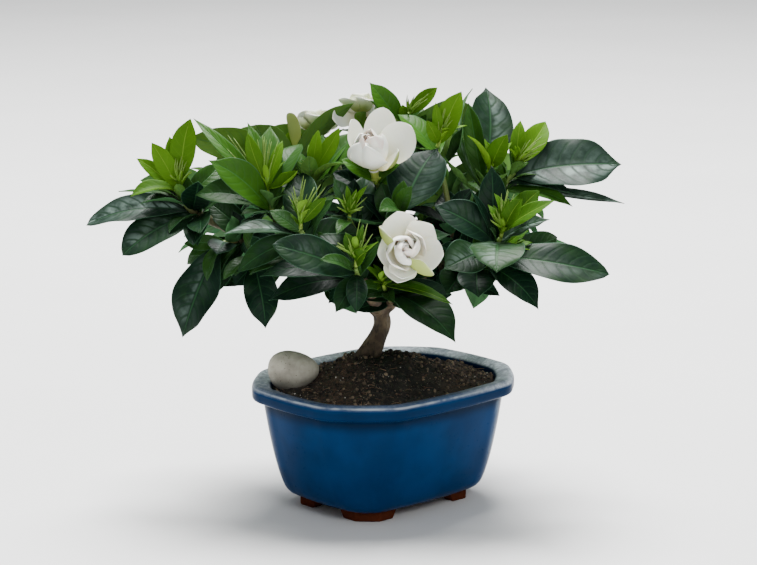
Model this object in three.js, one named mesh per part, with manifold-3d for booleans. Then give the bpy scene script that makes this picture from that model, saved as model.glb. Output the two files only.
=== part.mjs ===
// Potted gardenia: a small trained gardenia with white double blooms, in a blue glazed bonsai pot.
// Millimetres, +Z up. The pot's long side runs along X. The origin is under the middle of the
// whole plant's box, on the surface that the pot's feet stand on.
import * as THREE from "three";
import { mergeVertices } from "three/addons/utils/BufferGeometryUtils.js";
import Module from "manifold-3d";

const wasm = await Module();
wasm.setup();

// Driving dimensions of the pot: half sizes and corner cuts of its outline at the rim and the base.
const POT_HEIGHT = 128;
const POT_TOP = { halfLength: 121, halfWidth: 95.5, corner: 48 };
const POT_BASE = { halfLength: 82, halfWidth: 63, corner: 17 };
const FOOT_HEIGHT = 10;
const FOOT_LEG = 37;
const FOOT_THICK = 13;
const FOOT_INSET = 5;
const RIM_HEIGHT = 15;
const RIM_OVERHANG = 10.3;
const WALL = 9;
const FLOOR_TOP = 20;
const INSIDE_LEVELS = [80, 44, FLOOR_TOP];
const CREASE = 16;
const BOWL = 0.5;
const BOW = 0.022;
const DRAIN_RADIUS = 9;
const DRAIN_SPACING = 70;

// The soil, the pebble and the trunk.
const GAP = 0.3;
const CLEAR = 0.35;
const SOIL_EDGE = 121;
const EDGE_ROOM = 1;
const MOUND_RISE = 26;
const PEBBLE = { half: [25.5, 22, 20], at: [-85, -88.5, 8], lean: -0.24 };
const TRUNK_SIDES = 9;
const BOUGH_SIDES = 5;
const BLOOM_SIDES = 6;
const BUD_SIDES = 7;
const TWIG_SIDES = 3;
const STEM_SIDES = 4;
const TWIG_RADIUS = [5, 3.4];
const TWIG_BEND = 0.35;
const STEM_RADIUS = [2.9, 2.2];
const YOUNG_RADIUS = [2.0, 1.2];
const SPIKE_RADIUS = 1.4;
// How far out a root starts inside its stem, as a share of the stem's radius.
const ROOT_SHARE = 0.45;
const PETAL_ROOT = 2.3;
const BROAD_PETAL = 35;

// Leaves and petals.
const LEAF_THICK = 1.3;
const PETAL_THICK = 1.4;
const LEAF_ROWS = [[0, 0.06], [0.3, 0.76], [0.58, 1], [0.85, 0.54]];
const SMALL_ROWS = [[0, 0.1], [0.4, 0.92], [0.74, 0.76]];
const PETAL_ROWS = [[0, 0.3], [0.45, 0.9], [0.84, 0.9]];
const RIBBED = [-1, 0, 1];
const CUPPED = [-1, -0.5, 0, 0.5, 1];

// The crown was trained to one front. A crown point is given as it shows from there, as across,
// up and near, and the far eye's distance makes nearer things a little larger.
const FRONT_TURN = THREE.MathUtils.degToRad(-43);
const FRONT_TILT = THREE.MathUtils.degToRad(11.8);
const EYE_DISTANCE = 2500;
const HEART_ACROSS = -5.5;
const HEART_HEIGHT = 224;
const ACROSS = new THREE.Vector3(Math.cos(FRONT_TURN), Math.sin(FRONT_TURN), 0);
const NEAR = new THREE.Vector3(
  Math.sin(FRONT_TURN) * Math.cos(FRONT_TILT),
  -Math.cos(FRONT_TURN) * Math.cos(FRONT_TILT),
  Math.sin(FRONT_TILT),
);
const UP = new THREE.Vector3().crossVectors(NEAR, ACROSS);

function crownPoint([across, up, near]) {
  const shrink = 1 - near / EYE_DISTANCE;
  return new THREE.Vector3(0, 0, HEART_HEIGHT)
    .addScaledVector(ACROSS, HEART_ACROSS + across * shrink)
    .addScaledVector(UP, up * shrink)
    .addScaledVector(NEAR, near);
}

function crownDirection([across, up, near]) {
  return new THREE.Vector3()
    .addScaledVector(ACROSS, across)
    .addScaledVector(UP, up)
    .addScaledVector(NEAR, near)
    .normalize();
}

// Closed solids. Rings of equal length are joined in order, and a first or last ring of one point
// is a tip. A thin blade has its upper half ring and its lower half ring split alike.
function loft(rings, thin = false) {
  const count = Math.max(...rings.map((ring) => ring.length));
  const starts = rings.map((_, row) => rings.slice(0, row).flat().length);
  const faces = [];
  for (let row = 0; row + 1 < rings.length; row += 1) {
    const [here, next] = [starts[row], starts[row + 1]];
    for (let j = 0; j < count; j += 1) {
      const k = (j + 1) % count;
      if (rings[row].length === 1) faces.push(here, next + k, next + j);
      else if (rings[row + 1].length === 1) faces.push(here + j, here + k, next);
      else if (thin && j >= count / 2) {
        faces.push(here + j, here + k, next + j, here + k, next + k, next + j);
      } else faces.push(here + j, here + k, next + k, here + j, next + k, next + j);
    }
  }
  for (let j = 1; j + 1 < count; j += 1) {
    const last = starts.at(-1);
    if (rings[0].length > 1) faces.push(0, j + 1, j);
    if (rings.at(-1).length > 1) faces.push(last, last + j, last + j + 1);
  }
  const geometry = new THREE.BufferGeometry().setFromPoints(rings.flat());
  geometry.setIndex(faces);
  return geometry;
}

function solid(geometry) {
  const bare = geometry.clone();
  bare.deleteAttribute("normal");
  bare.deleteAttribute("uv");
  const merged = mergeVertices(bare, 1e-4);
  const triVerts = new Uint32Array(merged.index.array);
  const vertProperties = new Float32Array(merged.attributes.position.array);
  const made = new wasm.Manifold(new wasm.Mesh({ numProp: 3, vertProperties, triVerts }));
  if (made.volume() > 0) return made;
  for (let i = 0; i < triVerts.length; i += 3) {
    [triVerts[i + 1], triVerts[i + 2]] = [triVerts[i + 2], triVerts[i + 1]];
  }
  return new wasm.Manifold(new wasm.Mesh({ numProp: 3, vertProperties, triVerts }));
}

// Joined solids. A hollow that joining seals is filled, and a loose scrap is dropped.
function fuse(solids) {
  const bodies = solids.reduce((sum, next) => sum.add(next)).decompose();
  return bodies.reduce((largest, next) => (next.volume() > largest.volume() ? next : largest));
}

const finishes = {
  glaze: { color: 0x00407a, roughness: 0.22, metalness: 0 },
  soil: { color: 0x2a201a, roughness: 0.95, metalness: 0 },
  pebble: { color: 0xa8a395, roughness: 0.8, metalness: 0 },
  bark: { color: 0x5a4a3c, roughness: 0.85, metalness: 0 },
  leaf: { color: 0x0f3a26, roughness: 0.3, metalness: 0 },
  youngLeaf: { color: 0x6f9a18, roughness: 0.4, metalness: 0 },
  petal: { color: 0xf0eee6, roughness: 0.55, metalness: 0 },
};

const plant = new THREE.Group();

function addNode(name, made, finish) {
  const { vertProperties, triVerts } = made.getMesh();
  const geometry = new THREE.BufferGeometry();
  geometry.setAttribute("position", new THREE.BufferAttribute(vertProperties, 3));
  geometry.setIndex(new THREE.BufferAttribute(triVerts, 1));
  const mesh = new THREE.Mesh(geometry, new THREE.MeshStandardMaterial(finishes[finish]));
  mesh.name = name;
  plant.add(mesh);
}

// The pot: a rectangle with cut corners, soft creases and slightly bowed sides at every level.
function potOutline(halfLength, halfWidth, corner, z) {
  const quarter = [
    [halfLength, halfWidth - corner],
    [halfLength - corner, halfWidth],
  ];
  const mirrored = [
    ...quarter,
    ...quarter.map(([x, y]) => [-x, y]).reverse(),
    ...quarter.map(([x, y]) => [-x, -y]),
    ...quarter.map(([x, y]) => [x, -y]).reverse(),
  ].map(([x, y]) => new THREE.Vector2(x, y));
  const ring = [];
  mirrored.forEach((here, i) => {
    const before = mirrored.at(i - 1);
    const after = mirrored[(i + 1) % mirrored.length];
    const start = softened(here, before);
    const end = softened(here, after);
    const bend = start.clone().add(end).multiplyScalar(0.25).addScaledVector(here, 0.5);
    const side = after.clone().sub(here);
    const middle = here.clone().addScaledVector(side, 0.5);
    middle.add(new THREE.Vector2(side.y, -side.x).multiplyScalar(BOW));
    ring.push(start, bend, end, middle);
  });
  return ring.map((p) => new THREE.Vector3(p.x, p.y, z));
}

function softened(corner, neighbour) {
  const side = neighbour.clone().sub(corner);
  return corner.clone().addScaledVector(side, Math.min(CREASE / side.length(), 0.35));
}

// The body curves like a bowl from the base to the underside of the rim.
function bodyOutline(z, grow) {
  const climb = THREE.MathUtils.clamp((z - FOOT_HEIGHT) / (POT_HEIGHT - RIM_HEIGHT - FOOT_HEIGHT), 0, 1);
  const spread = climb ** BOWL;
  const size = (key) => THREE.MathUtils.lerp(POT_BASE[key], POT_TOP[key], spread);
  return potOutline(size("halfLength") + grow, size("halfWidth") + grow, size("corner") + grow * 0.6, z);
}

function makePot() {
  const rimFoot = POT_HEIGHT - RIM_HEIGHT;
  const outside = [FOOT_HEIGHT, 15, 28, 56, rimFoot].map((z) => bodyOutline(z, 0));
  const rim = [
    [rimFoot + 2, RIM_OVERHANG - 1],
    [rimFoot + 5.5, RIM_OVERHANG],
    [POT_HEIGHT - 4, RIM_OVERHANG - 0.3],
    [POT_HEIGHT, RIM_OVERHANG - 3.5],
    [POT_HEIGHT, -2],
    [POT_HEIGHT - 6, -WALL],
  ].map(([z, grow]) => bodyOutline(z, grow));
  const inside = INSIDE_LEVELS.map((z) => bodyOutline(z, -WALL));
  const shell = solid(loft([...outside, ...rim, ...inside]));
  return cutDrains(fuse([shell, ...makeFeet()]));
}

// Four corner feet, each an L that follows its cut corner.
function makeFeet() {
  const { halfLength, halfWidth, corner } = POT_BASE;
  const x = halfLength - FOOT_INSET;
  const y = halfWidth - FOOT_INSET;
  const outline = [
    [x - FOOT_LEG, y],
    [x - FOOT_LEG, y - FOOT_THICK],
    [x - FOOT_THICK - corner * 0.4, y - FOOT_THICK],
    [x - FOOT_THICK, y - FOOT_THICK - corner * 0.4],
    [x - FOOT_THICK, y - FOOT_LEG],
    [x, y - FOOT_LEG],
    [x, y - corner],
    [x - corner, y],
  ];
  return [[1, 1], [-1, 1], [-1, -1], [1, -1]].map(([sx, sy]) => {
    const shape = new THREE.Shape(outline.map(([px, py]) => new THREE.Vector2(px * sx, py * sy)));
    return solid(new THREE.ExtrudeGeometry(shape, { depth: FOOT_HEIGHT + 2, bevelEnabled: false }));
  });
}

function cutDrains(pot) {
  const drain = new THREE.CylinderGeometry(DRAIN_RADIUS, DRAIN_RADIUS, 4 * FLOOR_TOP, 12);
  drain.rotateX(Math.PI / 2);
  const left = drain.clone().translate(-DRAIN_SPACING / 2, 0, 0);
  const right = drain.translate(DRAIN_SPACING / 2, 0, 0);
  return pot.subtract(solid(left)).subtract(solid(right));
}

// The soil lies a little below the rim and rises to the trunk, with lumps. It is lofted downwards
// like the pot's inside, so that the sides of both are split alike.
const trunkFoot = crownPoint([-6, -72, -31]);

function soilHeight(x, y, inward) {
  const mound = MOUND_RISE * Math.sin((inward * Math.PI) / 2) ** 1.4;
  const lumps = Math.sin(x * 0.19 + 1) * Math.cos(y * 0.23) + Math.sin(x * 0.07 - y * 0.11);
  return SOIL_EDGE + mound + lumps * 1.3;
}

function makeSoil(trunkHole, pebbleSeat) {
  const clear = -WALL - GAP;
  const sides = INSIDE_LEVELS.map((z) => bodyOutline(z, clear));
  sides.at(-1).forEach((p) => (p.z += GAP));
  const edge = bodyOutline(SOIL_EDGE - 3, clear - EDGE_ROOM);
  const top = [0.9, 0.6, 0.3, 0.06].map((inward) =>
    edge.map((p) => {
      const x = THREE.MathUtils.lerp(p.x, trunkFoot.x, inward);
      const y = THREE.MathUtils.lerp(p.y, trunkFoot.y, inward);
      return new THREE.Vector3(x, y, soilHeight(x, y, inward));
    }),
  );
  return solid(loft([...top, edge, ...sides])).subtract(trunkHole).subtract(pebbleSeat);
}

// A rounded stone, taller at its left end.
function makePebble(grow) {
  const stone = new THREE.SphereGeometry(1, 14, 8);
  const place = stone.attributes.position;
  const centre = crownPoint(PEBBLE.at);
  const across = ACROSS.clone();
  const away = new THREE.Vector3(-ACROSS.y, ACROSS.x, 0);
  const [half, deep, tall] = PEBBLE.half.map((size) => size + grow);
  for (let i = 0; i < place.count; i += 1) {
    const [x, z, y] = [place.getX(i), place.getY(i), place.getZ(i)];
    const p = centre.clone();
    p.addScaledVector(across, half * x * (1 + 0.08 * z));
    p.addScaledVector(away, deep * y);
    p.z += tall * z * (1 + PEBBLE.lean * x);
    place.setXYZ(i, p.x, p.y, p.z);
  }
  return solid(stone);
}

// Round wood and stems: rings of a few sides along a smooth curve, with a radius for each place.
function limb(points, radiusAt, sides, steps) {
  const curve = new THREE.CatmullRomCurve3(points);
  const { normals, binormals } = curve.computeFrenetFrames(steps, false);
  const rings = [];
  for (let i = 0; i <= steps; i += 1) {
    const t = i / steps;
    const middle = curve.getPointAt(t);
    const ring = [];
    for (let j = 0; j < sides; j += 1) {
      const turn = (2 * Math.PI * j) / sides;
      const radius = radiusAt(t, turn);
      const spoke = normals[i].clone().multiplyScalar(Math.cos(turn) * radius);
      spoke.addScaledVector(binormals[i], Math.sin(turn) * radius);
      ring.push(middle.clone().add(spoke));
    }
    rings.push(ring);
  }
  return solid(loft(rings));
}

const taper = ([thick, slim]) => (t) => THREE.MathUtils.lerp(thick, slim, t);

// The trunk stands in the soil, flares at its foot with one buttress root, and forks at the neck.
const TRUNK_PATH = [
  [-9, -112, -40], [-7, -84, -34], [-6, -70, -31], [0, -55, -27], [4, -42, -24], [2, -28, -21],
];
const ROOT_PATH = [[0, -50, -26], [-9, -62, -28], [-19, -74, -26], [-27, -88, -24]];
const BOUGHS = {
  left: [[2, -30, -21], [-22, -12, -10], [-70, 12, 2], [-118, 36, 10], [-152, 55, 16], [-180, 68, 22]],
  centre: [[2, -30, -21], [3, 0, -16], [0, 45, -8], [8, 92, -6]],
  right: [[2, -30, -21], [26, -8, -10], [66, 16, 8], [98, 52, 2], [112, 82, -4]],
  front: [[2, -30, -21], [-6, -16, 10], [-14, -4, 40], [-14, 2, 60]],
  back: [[2, -30, -21], [-4, -6, -44], [-8, 24, -72]],
};
const BOUGH_RADIUS = [7.6, 4.4];

function trunkLimbs(grow) {
  const trunk = limb(
    TRUNK_PATH.map(crownPoint),
    (t, turn) => grow + 8.4 + 5.5 * (1 - t) ** 2.2 + 0.7 * Math.sin(3 * turn + 5 * t),
    TRUNK_SIDES,
    7,
  );
  const root = limb(ROOT_PATH.map(crownPoint), (t) => grow + 7.5 - 2.5 * t, 6, 4);
  return [trunk, root];
}

// A leaf or petal is a thin arched blade: its midrib is a bow from base to tip, its halves fold up
// along the midrib, and its edges wave. Its face is the side that its upper surface looks to.
const PLAIN = { arch: 0.1, fold: 0.3, wave: 0, waves: 2, roll: 0, cup: 0, thick: LEAF_THICK };

function bladePoint(leaf, t, width, s, surface) {
  const { base, tip, face } = leaf;
  const along = tip.clone().sub(base);
  const length = along.length();
  along.normalize();
  const side = along.clone().cross(face).normalize();
  const up = side.clone().cross(along);
  const hump = 4 * t * (1 - t);
  const p = base.clone().addScaledVector(along, length * t);
  p.addScaledVector(up, length * leaf.arch * hump);
  const normal = up.clone().addScaledVector(along, -4 * (1 - 2 * t) * leaf.arch).normalize();
  const spread = side.clone().multiplyScalar(Math.cos(leaf.roll)).addScaledVector(normal, Math.sin(leaf.roll));
  normal.multiplyScalar(Math.cos(leaf.roll)).addScaledVector(side, -Math.sin(leaf.roll));
  const half = (leaf.width * width) / 2;
  const ripple = leaf.wave * leaf.width * Math.sin(2 * Math.PI * leaf.waves * t + (s > 0 ? 1.3 : 0));
  const rise = half * (Math.abs(s) * Math.sin(leaf.fold) + s * s * leaf.cup) + ripple * s * s * width;
  const skin = (surface * leaf.thick * (1 - s * s)) / 2;
  p.addScaledVector(spread, half * s * Math.cos(leaf.fold));
  return p.addScaledVector(normal, rise + skin);
}

function blade(leaf, rows, columns) {
  const rings = rows.map(([t, width]) => [
    ...columns.map((s) => bladePoint(leaf, t, width, s, 1)),
    ...columns.slice(1, -1).reverse().map((s) => bladePoint(leaf, t, width, s, -1)),
  ]);
  return solid(loft([...rings, [leaf.tip]], true));
}

// Faces that leaves look to, as across, up and near.
const TO_FRONT = [0, 0.15, 1];
const TO_SKY = [0, 1, 0.25];
const SLANTED = [0, 0.7, 0.7];
const TO_LEFT = [-0.7, 0.4, 0.6];
const TO_RIGHT = [0.7, 0.4, 0.6];

// Leafy stems. Each grows off a bough, at a share of its length, and its leaves are given as the
// share of the stem where they sit, the tip, the width, the face and what else shapes them.
const LEAFY_STEMS = {
  left_end: {
    off: ["left", 0.97],
    stem: [[-182, 69, 26], [-190, 74, 29], [-198, 87, 30]],
    leaves: [
      [0.3, [-292, 57, 34], 38, SLANTED, { arch: 0.1, wave: 0.02, waves: 3 }],
      [0.1, [-256, 27, 60], 47, [-0.3, 0.5, 0.8], { arch: 0.08, fold: 0.2 }],
      [0.2, [-180, 101, 58], 33, [0, -0.3, 1], { arch: -0.05, fold: 0.5 }],
      [0.75, [-260, 91, 10], 15, TO_SKY, { arch: 0.05 }],
      [0.6, [-238, 79, 44], 22, TO_SKY, { arch: 0.08, fold: 0.5 }],
      [0.7, [-158, 118, 8], 24, TO_FRONT, { arch: 0.12 }],
    ],
  },
  left_hanging: {
    off: ["left", 0.7],
    stem: [[-142, 42, 28], [-151, 41, 34], [-160, 37, 40]],
    leaves: [
      [0.9, [-196, -55, 40], 47, [-0.35, 0.2, 1], { arch: 0.1, fold: 0.25, wave: 0.06, waves: 2.5 }],
      [0.6, [-162, 28, 62], 30, SLANTED, { arch: 0.12, fold: 0.2 }],
      [0.5, [-200, 30, 8], 17, TO_SKY, { arch: 0.1, fold: 0.5 }],
    ],
    whorls: 1,
  },
  left: {
    off: ["left", 0.5],
    stem: [[-92, 42, 44], [-104, 64, 56], [-110, 84, 60]],
    leaves: [
      [0.75, [-170, 122, 70], 36, [0.2, 0.45, 0.9], { arch: 0.1, fold: 0.25 }],
      [0.7, [-108, 157, 34], 28, TO_FRONT, { arch: 0.1 }],
      [0.5, [-152, 84, 66], 17, TO_SKY, { arch: 0.1, fold: 0.45 }],
      [0.8, [-185, 164, 34], 17, [0.3, 0.3, 0.9], { arch: 0.12 }],
      [0.85, [-131, 160, 44], 18, TO_FRONT, { arch: 0.05 }],
      [0.3, [-141, 52, 88], 20, TO_SKY, { arch: 0.15 }],
    ],
    whorls: 1,
  },
  upper_left: {
    off: ["left", 0.36],
    stem: [[-52, 46, 14], [-62, 76, 26], [-68, 100, 30]],
    leaves: [
      [0.9, [-34, 119, 66], 20, [0.1, 0.9, 0.3], { arch: 0.12, fold: 0.4 }],
      [0.85, [-56, 148, 24], 26, TO_FRONT, { arch: 0.06 }],
      [0.7, [-28, 143, 30], 26, TO_LEFT, { arch: 0.1 }],
      [0.8, [-92, 134, 30], 26, TO_RIGHT, { arch: 0.1 }],
    ],
    whorls: 1,
  },
  centre_left: {
    off: ["left", 0.28],
    stem: [[-54, 14, 44], [-68, 36, 76], [-78, 52, 90]],
    leaves: [
      [0.85, [-155, 48, 104], 24, [0, 0.85, 0.5], { arch: 0.1, fold: 0.3, wave: 0.02 }],
      [0.35, [-129, 8, 98], 21, SLANTED, { arch: 0.12 }],
      [0.7, [-44, 84, 96], 24, TO_LEFT, { arch: 0.1 }],
    ],
    whorls: 1,
  },
  left_low: {
    off: ["left", 0.42],
    stem: [[-102, 20, 26], [-117, 22, 42], [-127, 26, 52]],
    leaves: [
      [0.9, [-113, -46, 66], 35, TO_FRONT, { arch: 0.08, wave: 0.07, waves: 3 }],
      [0.6, [-144, -4, 50], 28, [-0.2, 0.3, 1], { arch: 0.1, wave: 0.04, waves: 3 }],
    ],
  },
  centre_front: {
    off: ["front", 0.95],
    stem: [[-17, 2, 72], [-20, 5, 92], [-23, 14, 106]],
    leaves: [
      [0.8, [-106, 38, 124], 40, [-0.1, 0.5, 0.9], { arch: 0.07, fold: 0.2 }],
      [0.65, [-43, -30, 122], 25, TO_FRONT, { arch: 0.1, fold: 0.35 }],
      [0.75, [-22, -31, 130], 22, TO_FRONT, { arch: 0.1, fold: 0.35 }],
      [0.35, [-119, 6, 96], 30, SLANTED, { arch: 0.14, fold: 0.2 }],
      [0.2, [-110, -18, 80], 40, SLANTED, { arch: 0.12, fold: 0.2, wave: 0.02 }],
    ],
    whorls: 1,
  },
  centre: {
    off: ["centre", 0.5],
    stem: [[-8, 36, 22], [-22, 50, 56], [-29, 62, 76]],
    leaves: [
      [0.8, [-45, 105, 84], 24, [0.5, 0, 0.8], { arch: 0.08, fold: 0.6 }],
      [0.75, [-24, 104, 68], 25, [-0.4, 0, 0.9], { arch: 0.08, fold: 0.4 }],
      [0.5, [-8, 112, 40], 30, TO_FRONT, { arch: 0.08, wave: 0.05, waves: 3 }],
      [0.4, [-64, 70, 60], 24, TO_SKY, { arch: 0.1 }],
    ],
  },
  beside_trunk: {
    off: ["right", 0.1],
    stem: [[12, -18, 10], [12, -12, 36], [6, -6, 58]],
    leaves: [
      [0.8, [77, -60, 100], 46, [0.3, 0.6, 0.75], { arch: 0.1, fold: 0.25 }],
      [0.35, [62, -40, 52], 34, SLANTED, { arch: 0.1 }],
    ],
    whorls: 1,
  },
  lower_bloom: {
    off: ["centre", 0.3],
    stem: [[8, 8, 30], [15, 18, 64], [24, 28, 92]],
    leaves: [
      [0.4, [72, 48, 96], 30, SLANTED, { arch: 0.1, fold: 0.25 }],
      [0.25, [58, 14, 84], 26, SLANTED, { arch: 0.14 }],
    ],
    bloom: {
      faces: [0.1, 0.2, 1],
      bud: { height: 28, radius: 12 },
      petals: [
        [[19, 71, 108], 34, [0.25, -0.35, 1], { arch: -0.18, cup: 0.5 }],
        [[54, 57, 112], 36, [-0.35, -0.4, 0.9], { arch: -0.2, cup: 0.5 }],
        [[65, 28, 110], 36, [-0.5, 0.1, 1], { arch: -0.18 }],
        [[55, 9, 120], 32, [-0.3, 0.85, -0.4], { arch: -0.22 }],
        [[19, 0, 114], 32, [0.1, 0.7, 0.7], { arch: -0.2, cup: 0.5 }],
        [[-1, 29, 112], 30, [0.7, 0.1, 0.7], { arch: -0.2, cup: 0.5 }],
        [[1, 56, 116], 28, [0.9, -0.3, -0.2], { arch: -0.2, cup: 0.7 }],
        [[13, 19, 127], 34, [0.45, 0.5, 0.55], { arch: -0.26, cup: 0.6 }],
        [[44, 44, 128], 32, [-0.5, -0.4, 0.6], { arch: -0.26, cup: 0.6 }],
      ],
    },
  },
  centre_right: {
    off: ["centre", 0.7],
    stem: [[10, 54, 28], [16, 62, 56], [22, 69, 78]],
    leaves: [
      [0.95, [59, 134, 40], 62, [-0.35, 0.35, 0.85], { arch: 0.04, fold: 0.16 }],
      [0.6, [-31, 66, 92], 11, TO_SKY, { arch: -0.1, fold: 0.7 }],
      [0.4, [2, 100, 52], 26, TO_FRONT, { arch: 0.1 }],
    ],
  },
  upper_bloom: {
    off: ["centre", 0.9],
    stem: [[2, 84, 10], [0, 94, 28], [-3, 102, 44]],
    leaves: [
      [0.4, [-42, 128, 30], 24, SLANTED, { arch: 0.12 }],
      [0.5, [46, 126, 28], 26, SLANTED, { arch: 0.12 }],
    ],
    bloom: {
      faces: [-0.1, 0.75, 0.65],
      bud: { height: 46, radius: 13 },
      petals: [
        [[-27, 163, 62], 28, [0.8, 0.1, 0.6], { arch: -0.18, cup: 0.5 }],
        [[5, 175, 44], 35, [0, -0.1, 1], { arch: -0.14, cup: 0.5 }],
        [[32, 157, 56], 42, [-0.35, 0, 1], { arch: -0.12 }],
        [[-17, 140, 82], 42, [0.25, 0.9, -0.5], { arch: -0.26, cup: 0.6 }],
        [[20, 132, 76], 18, [-0.6, 0.6, 0.4], { arch: -0.24, cup: 0.6 }],
      ],
    },
  },
  top: {
    off: ["centre", 1],
    stem: [[10, 100, -8], [18, 132, -14], [24, 160, -16]],
    leaves: [
      [0.9, [-9, 200, -4], 26, [0.4, 0.2, 0.9], { arch: 0.12, fold: 0.2 }],
      [0.8, [-8, 182, 4], 12, [0.2, 0.9, -0.2], { arch: 0.05 }],
      [0.7, [44, 176, -38], 24, TO_FRONT, { arch: 0.08 }],
    ],
    whorls: 1,
  },
  top_right: {
    off: ["right", 0.72],
    stem: [[74, 56, 14], [66, 98, 20], [58, 134, 20]],
    leaves: [
      [0.85, [19, 168, 36], 34, [0.35, 0.7, 0.6], { arch: 0.1, fold: 0.3 }],
      [0.75, [84, 155, 50], 22, [-0.3, 0.4, 0.8], { arch: -0.2, fold: 0.9 }],
    ],
    whorls: 1,
  },
  right_top: {
    off: ["right", 0.86],
    stem: [[100, 66, 8], [106, 90, 12], [110, 108, 12]],
    leaves: [
      [0.85, [107, 195, -14], 48, [0.25, 0.1, 0.9], { arch: 0.07, fold: 0.25 }],
      [0.7, [90, 180, 4], 24, [-0.3, 0.1, 0.9], { arch: 0.08, fold: 0.5 }],
      [0.5, [66, 126, 44], 16, TO_SKY, { arch: -0.08, fold: 0.5, wave: 0.08 }],
      [0.6, [94, 194, -20], 14, TO_LEFT, { arch: 0.25 }],
    ],
  },
  right: {
    off: ["right", 1],
    stem: [[118, 88, -4], [128, 100, 0], [136, 110, 2]],
    leaves: [
      [0.85, [243, 118, -6], 66, [-0.05, 0.6, 0.8], { arch: 0.08, fold: 0.22, wave: 0.015, waves: 3 }],
      [0.5, [197, 88, 18], 18, SLANTED, { arch: 0.12, fold: 0.5, wave: 0.06 }],
      [0.3, [246, 79, 6], 16, SLANTED, { arch: 0.02, fold: 0.4 }],
      [0.2, [194, 76, 26], 20, SLANTED, { arch: 0.1 }],
    ],
    whorls: 1,
  },
  right_front: {
    off: ["right", 0.5],
    stem: [[92, 20, 44], [112, 32, 72], [122, 44, 88]],
    leaves: [
      [0.85, [55, 77, 98], 38, [0.1, 0.5, 0.85], { arch: 0.1, fold: 0.3, wave: 0.02 }],
      [0.75, [113, 117, 70], 30, [-0.2, 0, 1], { arch: 0.05, fold: 0.35 }],
      [0.7, [92, 93, 92], 12, TO_RIGHT, { arch: 0.08 }],
      [0.9, [118, 10, 138], 54, [0, 0.75, 0.65], { arch: 0.12, fold: 0.15, wave: 0.02, waves: 3 }],
      [0.8, [171, 63, 104], 22, SLANTED, { arch: 0.1, wave: 0.07, waves: 3 }],
      [0.55, [65, 13, 104], 42, [0.1, 0.6, 0.8], { arch: 0.1, fold: 0.2 }],
    ],
  },
  right_low: {
    off: ["right", 0.42],
    stem: [[78, 8, 30], [100, 14, 48], [118, 26, 58]],
    leaves: [
      [0.95, [231, 8, 74], 48, [0.05, 0.62, 0.78], { arch: 0.08, fold: 0.15, wave: 0.015 }],
      [0.75, [160, -27, 84], 34, [0.3, 0.4, 0.85], { arch: 0.1, fold: 0.3 }],
      [0.5, [100, -15, 82], 40, SLANTED, { arch: 0.1 }],
      [0.3, [68, -12, 70], 36, SLANTED, { arch: 0.12 }],
    ],
    whorls: 1,
  },
  back_left_end: { off: ["left", 0.8], stem: [[-146, 62, -8], [-158, 84, -36], [-164, 98, -52]], whorls: 2 },
  back_left: { off: ["left", 0.45], stem: [[-84, 36, -30], [-96, 56, -72], [-103, 69, -100]], whorls: 2 },
  back_left_top: {
    off: ["left", 0.4],
    stem: [[-66, 60, -22], [-84, 96, -44], [-92, 120, -52]],
    whorls: 2,
  },
  back_bloom_left: {
    off: ["centre", 0.8],
    stem: [[-20, 96, -34], [-46, 122, -56], [-62, 138, -62]],
    whorls: 1,
    bloom: { size: 58, faces: [-0.1, 0.8, -0.25], turn: 0.2 },
  },
  back_bloom_top: {
    off: ["centre", 0.95],
    stem: [[0, 110, -26], [-12, 136, -34], [-18, 156, -36]],
    whorls: 1,
    bloom: { size: 54, faces: [-0.05, 0.9, -0.2], turn: 0.5 },
  },
  back_centre: { off: ["back", 0.95], stem: [[-20, 50, -92], [-26, 74, -116], [-30, 94, -126]], whorls: 2 },
  back_low: { off: ["back", 0.7], stem: [[-22, 10, -80], [-36, 14, -106], [-44, 22, -124]], whorls: 2 },
  back_right: { off: ["back", 0.9], stem: [[24, 34, -90], [44, 50, -112], [56, 64, -126]], whorls: 2 },
  back_right_top: { off: ["right", 0.8], stem: [[76, 90, -30], [64, 122, -56], [60, 140, -64]], whorls: 2 },
  back_right_low: { off: ["right", 0.45], stem: [[76, 10, -30], [96, 20, -64], [108, 30, -86]], whorls: 2 },
  back_right_end: { off: ["right", 0.95], stem: [[124, 76, -34], [142, 84, -66], [152, 92, -84]], whorls: 2 },
};

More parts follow.
